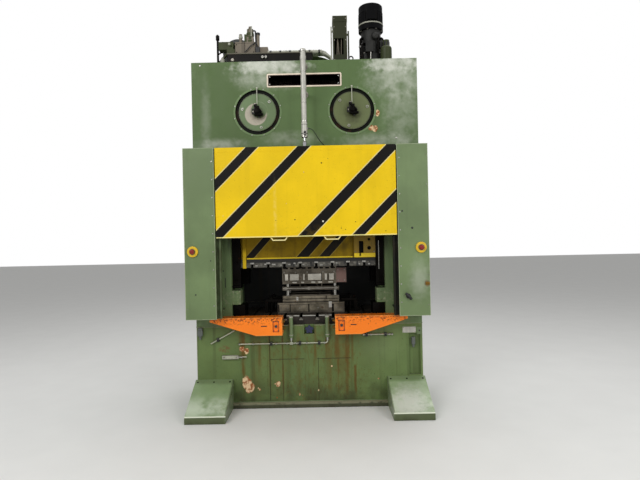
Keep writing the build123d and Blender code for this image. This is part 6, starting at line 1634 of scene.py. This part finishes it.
make("motor_bolts", "worn_steel", [
    (bolt, (x, y, crown_top + 0.020), up, 0.011) for x, y in product((-0.745, -0.515), (0.085, 0.275))
] + [(dome, (x, y, 3.394), up, 0.005, 0.003) for x, y in product((-0.565, -0.485), (0.154, 0.256))])

rear_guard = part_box("rear_guard")
(_, _, sheet_low), (_, rear_face, sheet_high) = rear_guard
sheet_left, sheet_right = inset(rear_guard, 0, 0.015)
make("rear_guard_screws", "worn_steel", [
    (bolt, (x, rear_face, sheet_low + 0.04 + index * (sheet_high - sheet_low - 0.08) / 6), backward, 0.007)
    for index in range(7) for x in (sheet_left, 0.0, sheet_right)])
handles = []
for x in (-0.35, 0.35):
    near, far = rear_face - 0.003, rear_face + 0.035
    path = [(x - 0.07, near, 1.30), (x - 0.07, far, 1.30), (x + 0.07, far, 1.30), (x + 0.07, near, 1.30)]
    handles.append((tube, bent(path, 0.012), 0.006))
    handles += [(collar, (x + end, near, 1.30), backward, 0.0055, 0.014, 0.006, 20) for end in (-0.07, 0.07)]
make("rear_guard_handles", "bright_steel", handles)
make("rear_guard_louvres", "guard_black", [
    (box, (x - 0.20, x + 0.20), (rear_face - 0.001, rear_face + 0.004), (z, z + 0.016))
    for x, z in product((-0.35, 0.35), (1.42 + index * 0.045 for index in range(12)))], width=0.0015)
make("rear_seals", "black_rubber", [
    (box, (-0.672, 0.672), (rear_plane + 0.002, rear_plane + 0.006), z)
    for z in ((sheet_high - 0.010, case_foot + 0.010), (0.690, sheet_low + 0.010))])
make("anchor_washers", "worn_steel", [
    (collar, (x, y, 0.045), up, 0.0185, 0.032, 0.005, 32) for x, y in product((-0.84, 0.84), (-0.54, 0.54))])
print("back dressed")

# %% [markdown]
# The picture is taken from a standing person's eye height with a wide lens, so the press leans in from both sides.
# A floor of pale grey catches the shadow. The sky is a soft even light that the camera sees as white. Two large
# lamps stand in front, so that the flat front still shows its dents, and a third hangs above.

# %% Floor, light and camera
def make_floor():
    """A wide plain plate that keeps the press's shadow."""
    mesh = bmesh.new()
    bmesh.ops.create_grid(mesh, x_segments=8, y_segments=8, size=30)
    data = bpy.data.meshes.new("floor")
    mesh.to_mesh(data)
    mesh.free()
    floor = put("floor", data)
    floor.location.z = -0.0005
    at = Skin("pale_floor")
    at.put("Base Color", at.mix(at.grain(3, 4), (0.86, 0.86, 0.85), (0.89, 0.89, 0.88)))
    at.put("Roughness", 0.8)
    at.put("Specular IOR Level", 0.2)
    data.materials.append(finishes["pale_floor"])


def add_lamp(name, place, aim, size, power):
    """A square soft lamp that points at a place."""
    light = bpy.data.lights.new(name, "AREA")
    light.shape = "SQUARE"
    light.size = size
    light.energy = power
    lamp = put(name, light)
    lamp.location = place
    lamp.rotation_euler = (Vector(aim) - Vector(place)).to_track_quat("-Z", "Y").to_euler()


def make_sky(strength):
    """Even light; the camera and reflections see a paler one."""
    world = bpy.data.worlds.new("studio")
    bpy.context.scene.world = world
    world.use_nodes = True
    tree = world.node_tree
    back = tree.nodes["Background"]
    rays = node(tree, "LightPath")
    seen = maths(tree, "MAXIMUM", rays.outputs["Is Camera Ray"], rays.outputs["Is Transmission Ray"])
    seen = maths(tree, "MAXIMUM", seen, maths(tree, "MULTIPLY", rays.outputs["Is Glossy Ray"], 0.35))
    tree.links.new(maths(tree, "ADD", maths(tree, "MULTIPLY", seen, 1 - strength), strength), back.inputs["Strength"])
    back.inputs["Color"].default_value = (1, 1, 1, 1)


def make_camera(place, lens, yaw, pitch, roll):
    """A camera that looks along +Y before it is turned; angles in degrees."""
    data = bpy.data.cameras.new("camera")
    data.lens = lens
    data.sensor_width = 36
    camera = put("camera", data)
    turn = Matrix.Rotation(math.radians(yaw), 4, "Z") @ Matrix.Rotation(math.radians(90 + pitch), 4, "X")
    camera.matrix_world = Matrix.Translation(place) @ turn @ Matrix.Rotation(math.radians(roll), 4, "Z")
    bpy.context.scene.camera = camera


make_floor()
make_sky(0.44)
add_lamp("key", (-3.2, -5.5, 4.6), (0, 0, 1.5), 3.0, 180)
add_lamp("fill", (3.6, -5.0, 3.2), (0, 0, 1.3), 3.0, 100)
add_lamp("top", (0.5, 1.0, 6.5), (0, 0, 2.0), 4.0, 170)
make_camera((0.13, -4.55, 1.456), 27, 0.27, -0.02, -1.2)
bpy.context.scene.view_settings.view_transform = "Standard"
print("floor, sky, three lamps and a camera")
